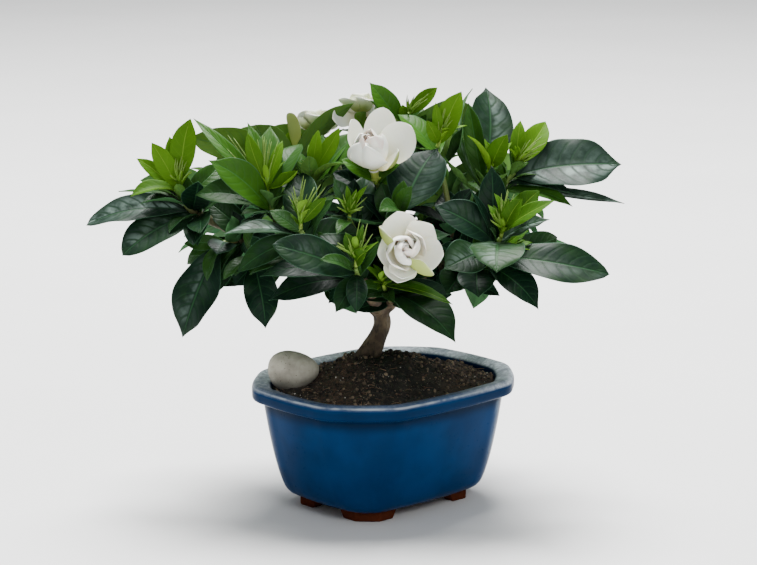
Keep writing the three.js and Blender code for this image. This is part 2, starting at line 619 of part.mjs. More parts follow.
// Young shoots, each on the end of the leafy stem of its name, with narrow bud points.
const YOUNG_SHOOTS = {
  left_end: {
    to: [-200, 106, 32],
    leaves: [
      [0.3, [-227, 140, 40], 21, TO_FRONT, { arch: 0.05 }],
      [0.6, [-209, 146, 34], 18, TO_FRONT, { arch: 0.03 }],
      [0.8, [-188, 164, 32], 27, TO_FRONT, { arch: 0.04 }],
      [0.2, [-248, 86, 50], 22, [0, 0.8, 0.6], { arch: 0.12, fold: 0.5 }],
      [0.1, [-242, 124, 22], 15, TO_FRONT, { arch: 0.08 }],
    ],
    spikes: [[-206, 149, 26], [-203, 124, 42], [-197, 126, 42], [-192, 121, 40]],
  },
  left: {
    to: [-112, 102, 62],
    leaves: [
      [0.4, [-131, 150, 66], 17, TO_FRONT, { arch: 0.05 }],
      [0.5, [-81, 112, 84], 22, [-0.4, 0.5, 0.7], { arch: -0.15, fold: 0.9 }],
      [0.7, [-96, 142, 56], 12, TO_FRONT, {}],
    ],
    spikes: [[-121, 143, 62], [-114, 146, 60], [-107, 141, 62], [-145, 145, 52]],
  },
  upper_left: {
    to: [-66, 114, 32],
    leaves: [
      [0.5, [-60, 153, 40], 14, TO_FRONT, {}],
      [0.5, [-39, 155, 36], 17, TO_FRONT, { arch: 0.06 }],
    ],
    spikes: [[-76, 122, 40], [-71, 126, 42]],
  },
  centre_left: {
    to: [-77, 66, 94],
    leaves: [
      [0.5, [-52, 85, 104], 13, TO_FRONT, { arch: 0.05 }],
    ],
    spikes: [[-85, 96, 96], [-73, 103, 98], [-58, 98, 98], [-80, 86, 102]],
  },
  centre_front: {
    to: [-22, 28, 110],
    leaves: [
      [0.4, [-12, 31, 126], 19, [-0.5, 0, 0.9], { arch: 0.1, fold: 0.5 }],
      [0.6, [-33, 50, 112], 13, TO_FRONT, {}],
    ],
    spikes: [[-41, 40, 116], [-30, 44, 120], [-17, 42, 118], [-11, 59, 100]],
  },
  centre: {
    to: [-29, 72, 80],
    leaves: [[0.5, [-28, 87, 88], 10, TO_FRONT, {}]],
    spikes: [[-23, 89, 84], [-34, 84, 88], [-18, 85, 82]],
  },
  top: {
    to: [32, 172, -14],
    leaves: [
      [0.7, [59, 195, -10], 16, TO_FRONT, { arch: 0.05 }],
      [0.3, [24, 178, -6], 11, TO_FRONT, {}],
    ],
    spikes: [[30, 184, -6], [36, 187, -6], [43, 184, -4]],
  },
  top_right: {
    to: [64, 148, 24],
    leaves: [
      [0.2, [83, 191, 30], 25, TO_FRONT, { arch: 0.08 }],
      [0.5, [57, 180, 36], 11, TO_FRONT, {}],
      [0.3, [48, 162, 44], 14, TO_FRONT, { arch: 0.08 }],
    ],
    spikes: [[66, 174, 38], [72, 170, 40]],
  },
  right_top: {
    to: [112, 120, 16],
    leaves: [
      [0.3, [80, 138, 40], 15, SLANTED, { arch: 0.06 }],
      [0.5, [129, 148, 36], 21, TO_FRONT, { arch: 0.06 }],
    ],
    spikes: [[118, 142, 22], [108, 138, 26]],
  },
  right: {
    to: [138, 122, 6],
    leaves: [
      [0.4, [142, 162, 0], 16, TO_FRONT, {}],
      [0.5, [167, 161, -8], 26, TO_FRONT, { arch: 0.08 }],
    ],
    spikes: [[163, 146, 14], [158, 140, 18], [152, 143, 12], [147, 136, 20]],
  },
  right_front: {
    to: [126, 60, 94],
    leaves: [
      [0.5, [144, 84, 106], 19, [-0.3, 0.1, 1], { arch: 0.08, fold: 0.5 }],
      [0.6, [161, 92, 88], 24, TO_FRONT, { arch: 0.05, wave: 0.07, waves: 3 }],
      [0.3, [176, 82, 74], 20, SLANTED, { arch: 0.08 }],
    ],
    spikes: [[130, 91, 98], [124, 83, 102], [115, 69, 106]],
  },
  right_low: {
    to: [128, 34, 62],
    leaves: [[0.6, [150, 52, 74], 14, SLANTED, { arch: 0.1 }]],
    spikes: [],
  },
  beside_trunk: {
    to: [4, 0, 68],
    leaves: [
      [0.5, [74, -22, 92], 13, SLANTED, { arch: 0.08 }],
      [0.4, [62, -12, 78], 14, TO_SKY, { arch: 0.1 }],
    ],
    spikes: [],
  },
  back_left_top: { to: [-94, 134, -56], whorls: 1, spikes: [] },
  back_centre: { to: [-32, 108, -130], whorls: 1, spikes: [] },
  back_right_top: { to: [60, 156, -66], whorls: 1, spikes: [] },
  back_right_end: { to: [158, 104, -90], whorls: 1, spikes: [] },
};

// Repeatable draws between 0 and 1.
let drawn = 20261;
function draw() {
  drawn = (drawn * 48271) % 2147483647;
  return drawn / 2147483647;
}

// How far the whorls' leaves look to the front of the crown, or to its back behind the middle.
const WHORL_TILT = 0.8;

// Length and width of a whorl's leaves.
const FRONT_WHORL = [74, 32];
const BACK_WHORL = [86, 40];
const YOUNG_WHORL = [36, 17];

const between = (low, high) => low + (high - low) * draw();

// The crown's outline from its front, which the leaves of the whorls stay inside.
const CROWN_MIDDLE = [-20, 68];
const CROWN_HALF = [232, 112];

// No leaf of a whorl hangs lower than this.
const LOWEST_TIP = 158;
const LONGEST_BENT = 1.15;

function insideCrown([across, up]) {
  const x = (across - CROWN_MIDDLE[0]) / CROWN_HALF[0];
  const y = (up - CROWN_MIDDLE[1]) / CROWN_HALF[1];
  return x * x + y * y < 1;
}

// A whorl of three leaves round a stem, each whorl turned against the last. At the front of the
// crown they stay behind the end of their stem.
function whorlLeaves(stem, whorls, long, wide) {
  const rows = [];
  const last = stem.at(-1);
  const first = stem[0];
  const axis = last.map((value, i) => value - first[i]);
  const size = Math.hypot(...axis);
  for (let whorl = 0; whorl < whorls; whorl += 1) {
    const k = 0.9 - 0.28 * whorl;
    for (let i = 0; i < 3; i += 1) {
      const turn = (2 * Math.PI * (i + whorl / 2 + between(-0.12, 0.12))) / 3;
      const reach = between(0.85, 1.15) * long;
      const open = between(0.2, 0.6);
      const out = spokeOf(axis, turn);
      const tip = last.map((value, j) => value + reach * (out[j] + (open * axis[j]) / size));
      tip[1] -= 0.12 * reach;
      const face = axis.map((value, j) => value / size - 0.4 * out[j]);
      face[2] += last[2] > 0 ? WHORL_TILT : -WHORL_TILT;
      const more = { arch: between(0.06, 0.16), rule: true, nearest: last[2] > 0 ? last[2] : Infinity };
      rows.push([k, tip, wide * between(0.85, 1.15), face, more]);
    }
  }
  return rows;
}

// A unit spoke square to an axis.
function spokeOf(axis, turn) {
  const lean = new THREE.Vector3(...axis).normalize();
  const side = new THREE.Vector3(0, 1, 0.3).cross(lean).normalize();
  const over = lean.clone().cross(side);
  return side.multiplyScalar(Math.cos(turn)).addScaledVector(over, Math.sin(turn)).toArray();
}

// A root inside a stem, a little off its axis on the side that faces the tip, clear of other roots.
function besideAxis(curve, k, tip, [thick, slim]) {
  const offset = ROOT_SHARE * THREE.MathUtils.lerp(thick, slim, k);
  const axis = curve.getPointAt(k);
  const tangent = curve.getTangentAt(k);
  const out = tip.clone().sub(axis);
  out.addScaledVector(tangent, -out.dot(tangent)).normalize();
  return axis.addScaledVector(out, offset);
}

// What stands in the crown already, with the node that it belongs to.
const standing = [];

function stand(node, made, outer = null) {
  standing.push({ node, made, outer, box: made.boundingBox() });
}

// Does a new leaf meet another node? Does its outer part meet the outer part of a sister leaf?
function meets(node, made, outer) {
  const { min, max } = made.boundingBox();
  return standing.some((other) => {
    if ([0, 1, 2].some((i) => other.box.min[i] > max[i] || other.box.max[i] < min[i])) return false;
    if (other.node !== node) return other.made.intersect(made).volume() > 0;
    return Boolean(outer && other.outer) && other.outer.intersect(outer).volume() > 0;
  });
}

// A leaf that would cross another node is bent clear: its tip moves nearer or further, and then a
// little aside, and a leaf of a whorl that still finds no room is left out.
const BENDS = [
  [0, 0, 0], [0, 0, 8], [0, 0, -8], [0, 0, 16], [0, 0, -16], [0, 0, 24], [0, 0, -24],
  [4, 3, 6], [-4, 3, -6], [4, -3, 12], [-4, -3, -12], [0, 0, 34], [0, 0, -34],
  [6, 6, 20], [-6, 6, -20], [6, -6, -20], [-6, -6, 20], [0, 8, 30], [0, -8, -30],
  [0, 0, 46], [0, 0, -46], [9, 9, 40], [-9, 9, -40], [9, -9, -40], [-9, -9, 40],
];

function growLeaf(node, curve, radii, [k, tip, width, face, more], rows) {
  const base = besideAxis(curve, k, crownPoint(tip), radii);
  const looks = crownDirection(face);
  const shape = { ...PLAIN, ...more, width, face: looks, base };
  for (const strict of [true, false]) {
    for (const bend of BENDS) {
      const bent = tip.map((value, i) => value + bend[i] * (more.rule ? 1.6 : 1));
      const leaf = { ...shape, tip: crownPoint(bent) };
      const stretch = base.distanceTo(leaf.tip) / base.distanceTo(crownPoint(tip));
      const hidden = !more.rule || bent[2] < more.nearest;
      const fits = insideCrown(bent) && leaf.tip.z > LOWEST_TIP && stretch < LONGEST_BENT && hidden;
      if (more.rule && !fits) continue;
      const outer = blade(leaf, rows.slice(1), RIBBED);
      const roomy = blade({ ...leaf, width: width + 1, thick: leaf.thick + 1 }, rows, RIBBED);
      const shifts = [looks.clone().multiplyScalar(CLEAR), looks.clone().multiplyScalar(-CLEAR)];
      if (shifts.some((shift) => meets(node, roomy.translate(...shift), strict && outer))) continue;
      const made = blade(leaf, rows, RIBBED);
      stand(node, made, outer);
      return made;
    }
    if (more.rule) return null;
  }
  console.log("no room", node, tip.map(Math.round).join(" "));
  return null;
}

// A bloom: petals on a short tube. The two blooms at the front have theirs placed one by one, and
// the others have an outer ring spread wide and an inner ring half up.
const PETAL_RINGS = [
  { petals: 5, rise: 0.35, reach: 0.52, width: 0.56, arch: -0.08, cup: 0.35, roll: 0.3 },
  { petals: 4, rise: 1.0, reach: 0.42, width: 0.42, arch: -0.14, cup: 0.5, roll: 0.35 },
];

function ringPetals(heart, axis, { size, turn }) {
  return PETAL_RINGS.flatMap((ring, layer) =>
    Array.from({ length: ring.petals }, (_, i) => {
      const around = turn + layer * 0.5 + (2 * Math.PI * i) / ring.petals;
      const out = levelSpoke(axis, around);
      const rise = ring.rise + 0.12 * Math.sin(3 * around + layer);
      const reach = out.clone().multiplyScalar(Math.cos(rise)).addScaledVector(axis, Math.sin(rise));
      const face = axis.clone().multiplyScalar(Math.cos(rise)).addScaledVector(out, -Math.sin(rise));
      const tip = heart.clone().addScaledVector(reach, size * ring.reach);
      return { ...PLAIN, ...ring, width: size * ring.width, tip, face };
    }),
  );
}

// The closed heart of a bloom, whose lapping petals make one bud form. The span is the part of a
// half wave that its outline follows.
const BUD_SPAN = [0.15, 0.92];
const BUD_SLIM = 0.25;

function heartBud(heart, axis, { height, radius }) {
  const end = heart.clone().addScaledVector(axis, height);
  const swell = (t) => Math.sin(Math.PI * THREE.MathUtils.lerp(...BUD_SPAN, t));
  return limb([heart, end], (t) => radius * THREE.MathUtils.lerp(BUD_SLIM, 1, swell(t)), BUD_SIDES, 4);
}

function makeBloom(root, axis, bloom) {
  const heart = root.clone().addScaledVector(axis, 9);
  const placed = (bloom.petals ?? []).map(([tip, width, face, more]) => ({
    ...PLAIN, cup: 0.4, arch: -0.1, ...more, width, tip: crownPoint(tip), face: crownDirection(face),
  }));
  const shapes = bloom.petals ? placed : ringPetals(heart, axis, bloom);
  const petals = shapes.map((shape) => {
    const out = shape.tip.clone().sub(heart).normalize();
    const base = heart.clone().addScaledVector(out, PETAL_ROOT);
    const columns = bloom.petals && shape.width > BROAD_PETAL ? CUPPED : RIBBED;
    return blade({ ...shape, thick: PETAL_THICK, fold: 0, base }, PETAL_ROWS, columns);
  });
  const tube = limb([root, heart, heart.clone().addScaledVector(axis, 4)], taper([3.2, 5.4]), BLOOM_SIDES, 1);
  const bud = bloom.bud ? [heartBud(heart, axis, bloom.bud)] : [];
  return fuse([tube, ...bud, ...petals]);
}

// A unit spoke square to a bloom's axis, at a turn from the level one.
function levelSpoke(axis, turn) {
  const side = new THREE.Vector3(0, 0, 1).cross(axis).normalize();
  const over = axis.clone().cross(side);
  return side.multiplyScalar(Math.cos(turn)).addScaledVector(over, Math.sin(turn));
}

// A green cup with five narrow lobes under each bloom.
function calyx(end, axis) {
  const cup = limb([end.clone().addScaledVector(axis, -8), end], taper([2.2, 4.2]), BLOOM_SIDES, 1);
  const lobes = Array.from({ length: 5 }, (_, i) => {
    const out = levelSpoke(axis, (2 * Math.PI * i) / 5);
    const root = end.clone().addScaledVector(axis, -3).addScaledVector(out, 2.6);
    const tip = end.clone().addScaledVector(axis, 1).addScaledVector(out, 8);
    return spike(root, tip);
  });
  return [cup, ...lobes];
}

// A narrow point of three sides.
function spike(root, tip) {
  const along = tip.clone().sub(root).normalize();
  const side = new THREE.Vector3(0.3, 0.2, 1).cross(along).normalize();
  const over = along.clone().cross(side);
  const ring = [0, 1, 2].map((i) => {
    const turn = (2 * Math.PI * i) / 3;
    const p = root.clone().addScaledVector(side, SPIKE_RADIUS * Math.cos(turn));
    return p.addScaledVector(over, SPIKE_RADIUS * Math.sin(turn));
  });
  return solid(loft([ring, [tip]]));
}

// Wood first, then stems and blooms, and then the leaves, each clear of all that stands.
const stems = new Map();
const nodes = new Map();
const wood = [...trunkLimbs(0)];
const boughCurves = {};
for (const [name, path] of Object.entries(BOUGHS)) {
  const points = path.map(crownPoint);
  boughCurves[name] = new THREE.CatmullRomCurve3(points);
  wood.push(limb(points, taper(BOUGH_RADIUS), BOUGH_SIDES, path.length));
}

for (const [name, { off, stem, bloom }] of Object.entries(LEAFY_STEMS)) {
  const node = `leafy_stem_${name}`;
  const points = stem.map(crownPoint);
  const fork = boughCurves[off[0]].getPointAt(off[1]);
  const curve = new THREE.CatmullRomCurve3(points);
  const ahead = curve.getTangentAt(0);
  const end = points[0].clone().addScaledVector(ahead, -GAP);
  const bend = points[0].clone().addScaledVector(ahead, -TWIG_BEND * fork.distanceTo(points[0]));
  wood.push(limb([fork, bend, end], taper(TWIG_RADIUS), TWIG_SIDES, 2));
  stems.set(name, curve);
  const parts = [limb(points, taper(STEM_RADIUS), STEM_SIDES, 2)];
  if (bloom) {
    const axis = crownDirection(bloom.faces);
    parts.push(...calyx(points.at(-1).clone().addScaledVector(axis, 4), axis));
    const root = points.at(-1).clone().addScaledVector(axis, 4 + GAP);
    const made = makeBloom(root, axis, bloom);
    const bloomName = name.includes("bloom") ? name.replace("_bloom", "") : name;
    nodes.set(`bloom_${bloomName}`, { made, finish: "petal" });
    stand(`bloom_${bloomName}`, made);
  }
  nodes.set(node, { parts, finish: "leaf" });
  stand(node, fuse(parts));
}

const trunk = fuse(wood);
stand("trunk", trunk);

for (const [name, { to, spikes }] of Object.entries(YOUNG_SHOOTS)) {
  const node = `young_shoot_${name}`;
  const from = stems.get(name).getPointAt(1);
  const end = crownPoint(to);
  const ahead = end.clone().sub(from).normalize();
  const tilt = Math.sin(ahead.angleTo(stems.get(name).getTangentAt(1)));
  const start = from.clone().addScaledVector(ahead, GAP + YOUNG_RADIUS[0] * tilt);
  const curve = new THREE.LineCurve3(start, end);
  const parts = [limb([start, end], taper(YOUNG_RADIUS), STEM_SIDES, 1)];
  spikes.forEach((tip, i) => {
    const root = besideAxis(curve, 0.97 - 0.13 * (i % 6), crownPoint(tip), YOUNG_RADIUS);
    parts.push(spike(root, crownPoint(tip)));
  });
  nodes.set(node, { parts, finish: "youngLeaf", curve });
  stand(node, fuse(parts));
}

for (const [name, { leaves = [] }] of Object.entries(LEAFY_STEMS)) {
  const node = `leafy_stem_${name}`;
  const { parts } = nodes.get(node);
  parts.push(...leaves.map((row) => growLeaf(node, stems.get(name), STEM_RADIUS, row, LEAF_ROWS)));
}
for (const [name, { leaves = [] }] of Object.entries(YOUNG_SHOOTS)) {
  const node = `young_shoot_${name}`;
  const { parts, curve } = nodes.get(node);
  parts.push(...leaves.map((row) => growLeaf(node, curve, YOUNG_RADIUS, row, SMALL_ROWS)));
}
for (const [name, { stem, whorls = 0 }] of Object.entries(LEAFY_STEMS)) {
  const node = `leafy_stem_${name}`;
  const rows = whorlLeaves(stem, whorls, ...(stem.at(-1)[2] > 0 ? FRONT_WHORL : BACK_WHORL));
  const { parts } = nodes.get(node);
  parts.push(...rows.map((row) => growLeaf(node, stems.get(name), STEM_RADIUS, row, SMALL_ROWS)));
}
for (const [name, { to, whorls = 0 }] of Object.entries(YOUNG_SHOOTS)) {
  const node = `young_shoot_${name}`;
  const rows = whorlLeaves([LEAFY_STEMS[name].stem.at(-1), to], whorls, ...YOUNG_WHORL);
  const { parts, curve } = nodes.get(node);
  parts.push(...rows.map((row) => growLeaf(node, curve, YOUNG_RADIUS, row, SMALL_ROWS)));
}

addNode("pot", makePot(), "glaze");
addNode("soil", makeSoil(fuse(trunkLimbs(GAP)), makePebble(GAP)), "soil");
addNode("pebble", makePebble(0), "pebble");
addNode("trunk", trunk, "bark");
for (const [name, { made, parts, finish }] of nodes) {
  addNode(name, made ?? fuse(parts.filter(Boolean)), finish);
}

// The origin goes under the middle of the whole plant's box.
const box = new THREE.Box3().setFromObject(plant, true);
const middle = box.getCenter(new THREE.Vector3());
plant.position.set(-middle.x, -middle.y, -box.min.z);

export default plant;
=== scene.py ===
"""The looks of a potted gardenia: a small trained shrub with white blooms in a blue glazed pot.

Sizes are in millimetres until a mesh is made, where they become metres.
"""

import logging
import math
import random
from dataclasses import dataclass, field
from enum import Enum
from typing import Callable, Optional, Sequence, Union

import bpy
import numpy as np
from mathutils import Matrix, Vector, noise
from mathutils.bvhtree import BVHTree

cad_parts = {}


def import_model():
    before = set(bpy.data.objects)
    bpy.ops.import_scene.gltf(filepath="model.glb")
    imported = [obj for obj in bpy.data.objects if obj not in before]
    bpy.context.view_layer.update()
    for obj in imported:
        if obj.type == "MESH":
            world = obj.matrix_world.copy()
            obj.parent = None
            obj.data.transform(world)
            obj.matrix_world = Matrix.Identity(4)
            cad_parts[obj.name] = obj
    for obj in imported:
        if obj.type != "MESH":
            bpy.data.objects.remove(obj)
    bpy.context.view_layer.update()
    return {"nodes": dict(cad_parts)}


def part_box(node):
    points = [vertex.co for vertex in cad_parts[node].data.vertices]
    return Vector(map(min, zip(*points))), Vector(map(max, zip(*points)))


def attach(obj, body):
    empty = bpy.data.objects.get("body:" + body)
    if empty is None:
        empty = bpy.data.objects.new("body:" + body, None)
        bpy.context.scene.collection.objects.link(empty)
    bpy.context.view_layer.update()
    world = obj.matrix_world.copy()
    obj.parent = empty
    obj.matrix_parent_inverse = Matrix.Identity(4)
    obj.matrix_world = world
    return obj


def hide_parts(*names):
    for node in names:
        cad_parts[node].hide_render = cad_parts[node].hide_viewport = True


LOG = logging.getLogger("gardenia")
MM = 0.001

Array = np.ndarray
Material = bpy.types.Material
Object = bpy.types.Object
Row = Sequence[float]
Pair = tuple[float, float]
Value = Union[float, "Channel"]
Colour = tuple[float, float, float, float]
Radius = Callable[[Array, Array], Array]


# Shader boards and finishes


def paint(code: str) -> Colour:
    """A colour code such as "2a201a" as linear light.

    Args:
        code: Six hexadecimal digits.

    Returns:
        Red, green, blue and alpha in linear light.
    """
    parts = [int(code[i : i + 2], 16) / 255 for i in (0, 2, 4)]
    linear = [p / 12.92 if p <= 0.04045 else ((p + 0.055) / 1.055) ** 2.4 for p in parts]
    return (*linear, 1.0)


def arithmetic(operation: str, reflected: bool = False) -> Callable[..., "Channel"]:
    """A method of Channel that adds a Math node.

    Args:
        operation: The node's operation.
        reflected: Whether the channel comes after the other value.

    Returns:
        The method.
    """

    def method(channel: "Channel", *others: Value) -> "Channel":
        """The node's result."""
        return channel.board.maths(operation, *((*others, channel) if reflected else (channel, *others)))

    return method


@dataclass(frozen=True)
class Channel:
    """A socket whose value changes over a surface, with the arithmetic of a number."""

    board: "Board"
    socket: bpy.types.NodeSocket

    __add__ = arithmetic("ADD")
    __radd__ = arithmetic("ADD", reflected=True)
    __sub__ = arithmetic("SUBTRACT")
    __rsub__ = arithmetic("SUBTRACT", reflected=True)
    __mul__ = arithmetic("MULTIPLY")
    __rmul__ = arithmetic("MULTIPLY", reflected=True)
    __pow__ = arithmetic("POWER")
    __abs__ = arithmetic("ABSOLUTE")
    most = arithmetic("MAXIMUM")
    least = arithmetic("MINIMUM")
    part = arithmetic("FRACT")

    def step(self, low: float, high: float) -> "Channel":
        """A soft step from 0 at low to 1 at high, or down where low is the larger."""
        return self.board.channel(
            "ShaderNodeMapRange", {"interpolation_type": "SMOOTHSTEP"}, {0: self, 1: low, 2: high}
        )


class Board:
    """The nodes of one material."""

    def __init__(self, name: str) -> None:
        """Starts a material with only its output.

        Args:
            name: The material's name.
        """
        self.material = bpy.data.materials.new(name)
        self.material.use_nodes = True
        self.tree = self.material.node_tree
        self.tree.nodes.clear()

    def node(self, kind: str, settings: dict, inputs: dict) -> bpy.types.Node:
        """Adds a node of any kind.

        Args:
            kind: The node's type.
            settings: Its own settings, set first.
            inputs: Values or channels by socket name or number.

        Returns:
            The new node.
        """
        node = self.tree.nodes.new(kind)
        for key, value in settings.items():
            setattr(node, key, value)
        for key, value in inputs.items():
            if isinstance(value, Channel):
                self.tree.links.new(value.socket, node.inputs[key])
            else:
                node.inputs[key].default_value = value
        return node

    def channel(self, kind: str, settings: dict, inputs: dict, output: Union[int, str] = 0) -> Channel:
        """Adds a node and reads one of its outputs."""
        return Channel(self, self.node(kind, settings, inputs).outputs[output])

    def maths(self, operation: str, *values: Value) -> Channel:
        """A Math node's result."""
        return self.channel("ShaderNodeMath", {"operation": operation}, dict(enumerate(values)))

    def coats(self, ground: str, *coats: tuple[Value, Union[str, Channel]]) -> Channel:
        """A colour under coats of others.

        Args:
            ground: The code of the colour at the bottom.
            coats: The mask of each coat and its colour, as a code or a channel.

        Returns:
            The colour that shows.
        """
        colour = paint(ground)
        for mask, over in coats:
            inputs = {0: mask, 6: colour, 7: paint(over) if isinstance(over, str) else over}
            colour = self.channel("ShaderNodeMix", {"data_type": "RGBA"}, inputs, 2)
        return colour

    def place(self, *stretch: float) -> Channel:
        """The surface's own place, in metres, stretched along each axis if that is given."""
        own = self.channel("ShaderNodeTexCoord", {}, {}, "Object")
        return self.channel("ShaderNodeMapping", {}, {0: own, 3: stretch or (1, 1, 1)})

    def height(self) -> Channel:
        """The surface's height, in millimetres."""
        own = self.channel("ShaderNodeTexCoord", {}, {}, "Object")
        return self.channel("ShaderNodeSeparateXYZ", {}, {0: own}, 2) * (1 / MM)

    def painted(self, name: str) -> Channel:
        """A value painted on the mesh."""
        return self.channel("ShaderNodeAttribute", {"attribute_name": name}, {}, "Fac")

    def cloud(self, place: Channel, size: float, detail: float = 4, rough: float = 0.55,
              twist: float = 0.0) -> Channel:
        """Soft noise from 0 to 1.

        Args:
            place: Where on the surface, in metres.
            size: The size of its lumps, in millimetres.
            detail: How many finer layers it has.
            rough: How strong the finer layers are.
            twist: How far it is pulled about.

        Returns:
            The noise.
        """
        inputs = {0: place, "Scale": 1 / (size * MM), "Detail": detail, "Roughness": rough}
        return self.channel("ShaderNodeTexNoise", {}, {**inputs, "Distortion": twist})

    def cells(self, place: Channel, size: float) -> Channel:
        """The distance to the middle of the nearest cell, for cells of a size in millimetres."""
        return self.channel("ShaderNodeTexVoronoi", {}, {0: place, "Scale": 1 / (size * MM)})

    def bump(self, height: Channel, depth: float, strength: float) -> Channel:
        """A bumped normal, for a height of 1 that is so many millimetres deep."""
        inputs = {"Height": height, "Distance": depth * MM, "Strength": strength}
        return self.channel("ShaderNodeBump", {}, inputs)

    def finish(self, **sockets: Union[Value, Colour, Row]) -> Material:
        """Sets the surface.

        Args:
            sockets: What goes in its sockets, by their names with _ for a space.

        Returns:
            The finished material.
        """
        inputs = {key.replace("_", " "): value for key, value in sockets.items()}
        surface = self.channel("ShaderNodeBsdfPrincipled", {}, inputs)
        self.node("ShaderNodeOutputMaterial", {}, {0: surface})
        return self.material


@dataclass(frozen=True)
class Glaze:
    """Blue stoneware glaze, thin and pale on the rim's edges from mineral wear and painted highlight, with
    a painted crease highlight, a painted shadow under the rim and bare clay under its line.
    """

    blue: str = "002e57"
    deep: str = "002447"
    # colour of the painted shadow under the rim
    shade: str = "000f20"
    band: str = "001730"
    # pale crease line: thin glaze and a painted highlight
    thin: str = "8fabc2"
    # pale rim colour: mineral wear and painted highlight
    worn_and_highlight: str = "d6dfe6"
    clay: str = "3a1a0f"
    pale_clay: str = "5a2c1a"
    line: float = 10.4
    rim: float = 109
    top: float = 125

    def material(self) -> Material:
        """The glaze on Object coordinates and the pot's painted creases.

        Returns:
            The material.
        """
        board = Board("blue_glaze")
        place, height = board.place(), board.height()
        clouds = board.cloud(place, 60, 3)
        fine = board.cloud(place, 4, 4)
        # painted shadow: a darker band on the body just under the rim's overhang
        shadow_under_rim = height.step(self.rim - 13, self.rim + 1) * height.step(self.rim + 5, self.rim)
        band = height.step(self.rim - 1, self.rim + 3) * height.step(self.top, self.top - 4)
        streak = board.cloud(board.place(1, 1, 0.15), 5, 3).step(0.3, 0.6)
        # painted highlight: a streaky pale line down the creases, partly thin glaze, kept to the right
        # corner by the painted tone
        thin = board.painted("across").step(0.75, 0.95) * height.step(30, 70)
        thin = thin * height.step(self.rim + 2, self.rim - 5) * streak * board.painted("tone")
        patches = board.cloud(place, 16, 4, 0.6).step(0.36, 0.56)
        flakes = board.cloud(place, 3.5, 5, 0.7).step(0.47, 0.56)
        # mineral wear with painted highlight on the rim's top, palest away from the front
        wear_and_highlight_most = (board.painted("along") * 1.5 - 0.1).most(0.1).least(1.0)
        lip = height.step(self.top - 1.5, self.top + 1.5) * (patches * 0.35 + 0.65) * wear_and_highlight_most
        # a pale line along the rim's outer top edge: mineral wear and painted highlight
        edge = board.painted("silver") * board.cloud(place, 24, 3).step(0.3, 0.6) * 0.6
        mineral_and_highlight = (lip * (flakes * 0.3 + 0.7)).most(edge)
        wavy = height + (board.cloud(place, 12, 3) - 0.5) * 3
        bare = wavy.step(self.line + 0.5, self.line - 0.5)
        colour = board.coats(
            self.blue, (clouds.step(0.3, 0.75), self.deep), (shadow_under_rim * 0.8, self.shade),
            (band * 0.6, self.band), (thin * 0.35, self.thin), (mineral_and_highlight, self.worn_and_highlight),
            (bare, board.coats(self.clay, (fine, self.pale_clay))),
        )
        rough = 0.24 + fine * 0.1 + mineral_and_highlight * 0.45 + bare * 0.6
        grain = board.cloud(place, 0.8, 3) * bare + board.cloud(place, 3, 3) * mineral_and_highlight + clouds * 0.6
        return board.finish(
            Base_Color=colour, Roughness=rough.least(1.0), Normal=board.bump(grain, 0.35, 0.5),
            Specular_IOR_Level=0.02, Coat_Weight=0.015, Coat_Roughness=0.08,
        )


@dataclass(frozen=True)
class Earth:
    """Damp potting soil, with reddish mulch on one side and moss near the trunk."""

    brown: str = "0b0906"
    pale: str = "4a4032"
    drift: str = "3a2e24"
    mulch: str = "5a4230"
    moss: str = "1d2411"
    speck: str = "b6aa98"

    def material(self) -> Material:
        """The soil; its painted values say where mulch and moss are.

        Returns:
            The material.
        """
        board = Board("soil")
        place = board.place()
        lumps = board.cloud(place, 5, 6, 0.7)
        drifts = board.cloud(board.place(1, 1, 2), 20, 3).step(0.4, 0.65)
        mulch = board.painted("tone") * board.cloud(place, 2.4, 4).step(0.42, 0.6)
        moss = board.painted("silver") * board.cloud(place, 3, 3).step(0.35, 0.6)
        specks = board.cells(place, 2.2).step(0.2, 0.1) * board.cloud(place, 8, 2).step(0.42, 0.58)
        colour = board.coats(
            self.brown, (lumps.step(0.48, 0.78), self.pale), (drifts * 0.35, self.drift),
            (mulch * 0.75, self.mulch), (moss * 0.8, self.moss), (specks * 0.75, self.speck),
        )
        normal = board.bump(lumps, 1.6, 0.9)
        return board.finish(Base_Color=colour, Roughness=0.98 - lumps * 0.2, Normal=normal)


@dataclass(frozen=True)
class Grit:
    """A plain dull finish for crumbs, perlite and fibres."""

    name: str
    light: str
    dark: str

    def material(self) -> Material:
        """The crumbs' finish, varied from one to the next by their painted tone.

        Returns:
            The material.
        """
        board = Board(self.name)
        spots = board.cloud(board.place(), 1.2, 3)
        colour = board.coats(self.dark, ((board.painted("tone") * 0.8 + spots * 0.3) ** 2.5, self.light))
        return board.finish(Base_Color=colour, Roughness=0.9, Normal=board.bump(spots, 0.4, 0.6))


@dataclass(frozen=True)
class Stone:
    """A smooth beige-grey pebble with small pits."""

    pale: str = "b3ae9f"
    grey: str = "8f8a7d"
    freckle: str = "3f3b33"
    foot: str = "5b5347"

    def material(self) -> Material:
        """The stone on Object coordinates, darker near the soil.

        Returns:
            The material.
        """
        board = Board("pebble")
        place = board.place()
        patches = board.cloud(place, 16, 5, 0.6).step(0.3, 0.7)
        freckles = board.cells(place, 3.2).step(0.2, 0.1) * board.cloud(place, 11, 2).step(0.45, 0.55)
        colour = board.coats(
            self.grey, (patches, self.pale), (freckles * 0.85, self.freckle),
            (board.height().step(124, 116) * 0.5, self.foot),
        )
        fine = board.cloud(place, 0.9, 4)
        normal = board.bump(fine * 0.5 - freckles, 0.6, 0.7)
        return board.finish(Base_Color=colour, Roughness=0.78 + fine * 0.15, Normal=normal)


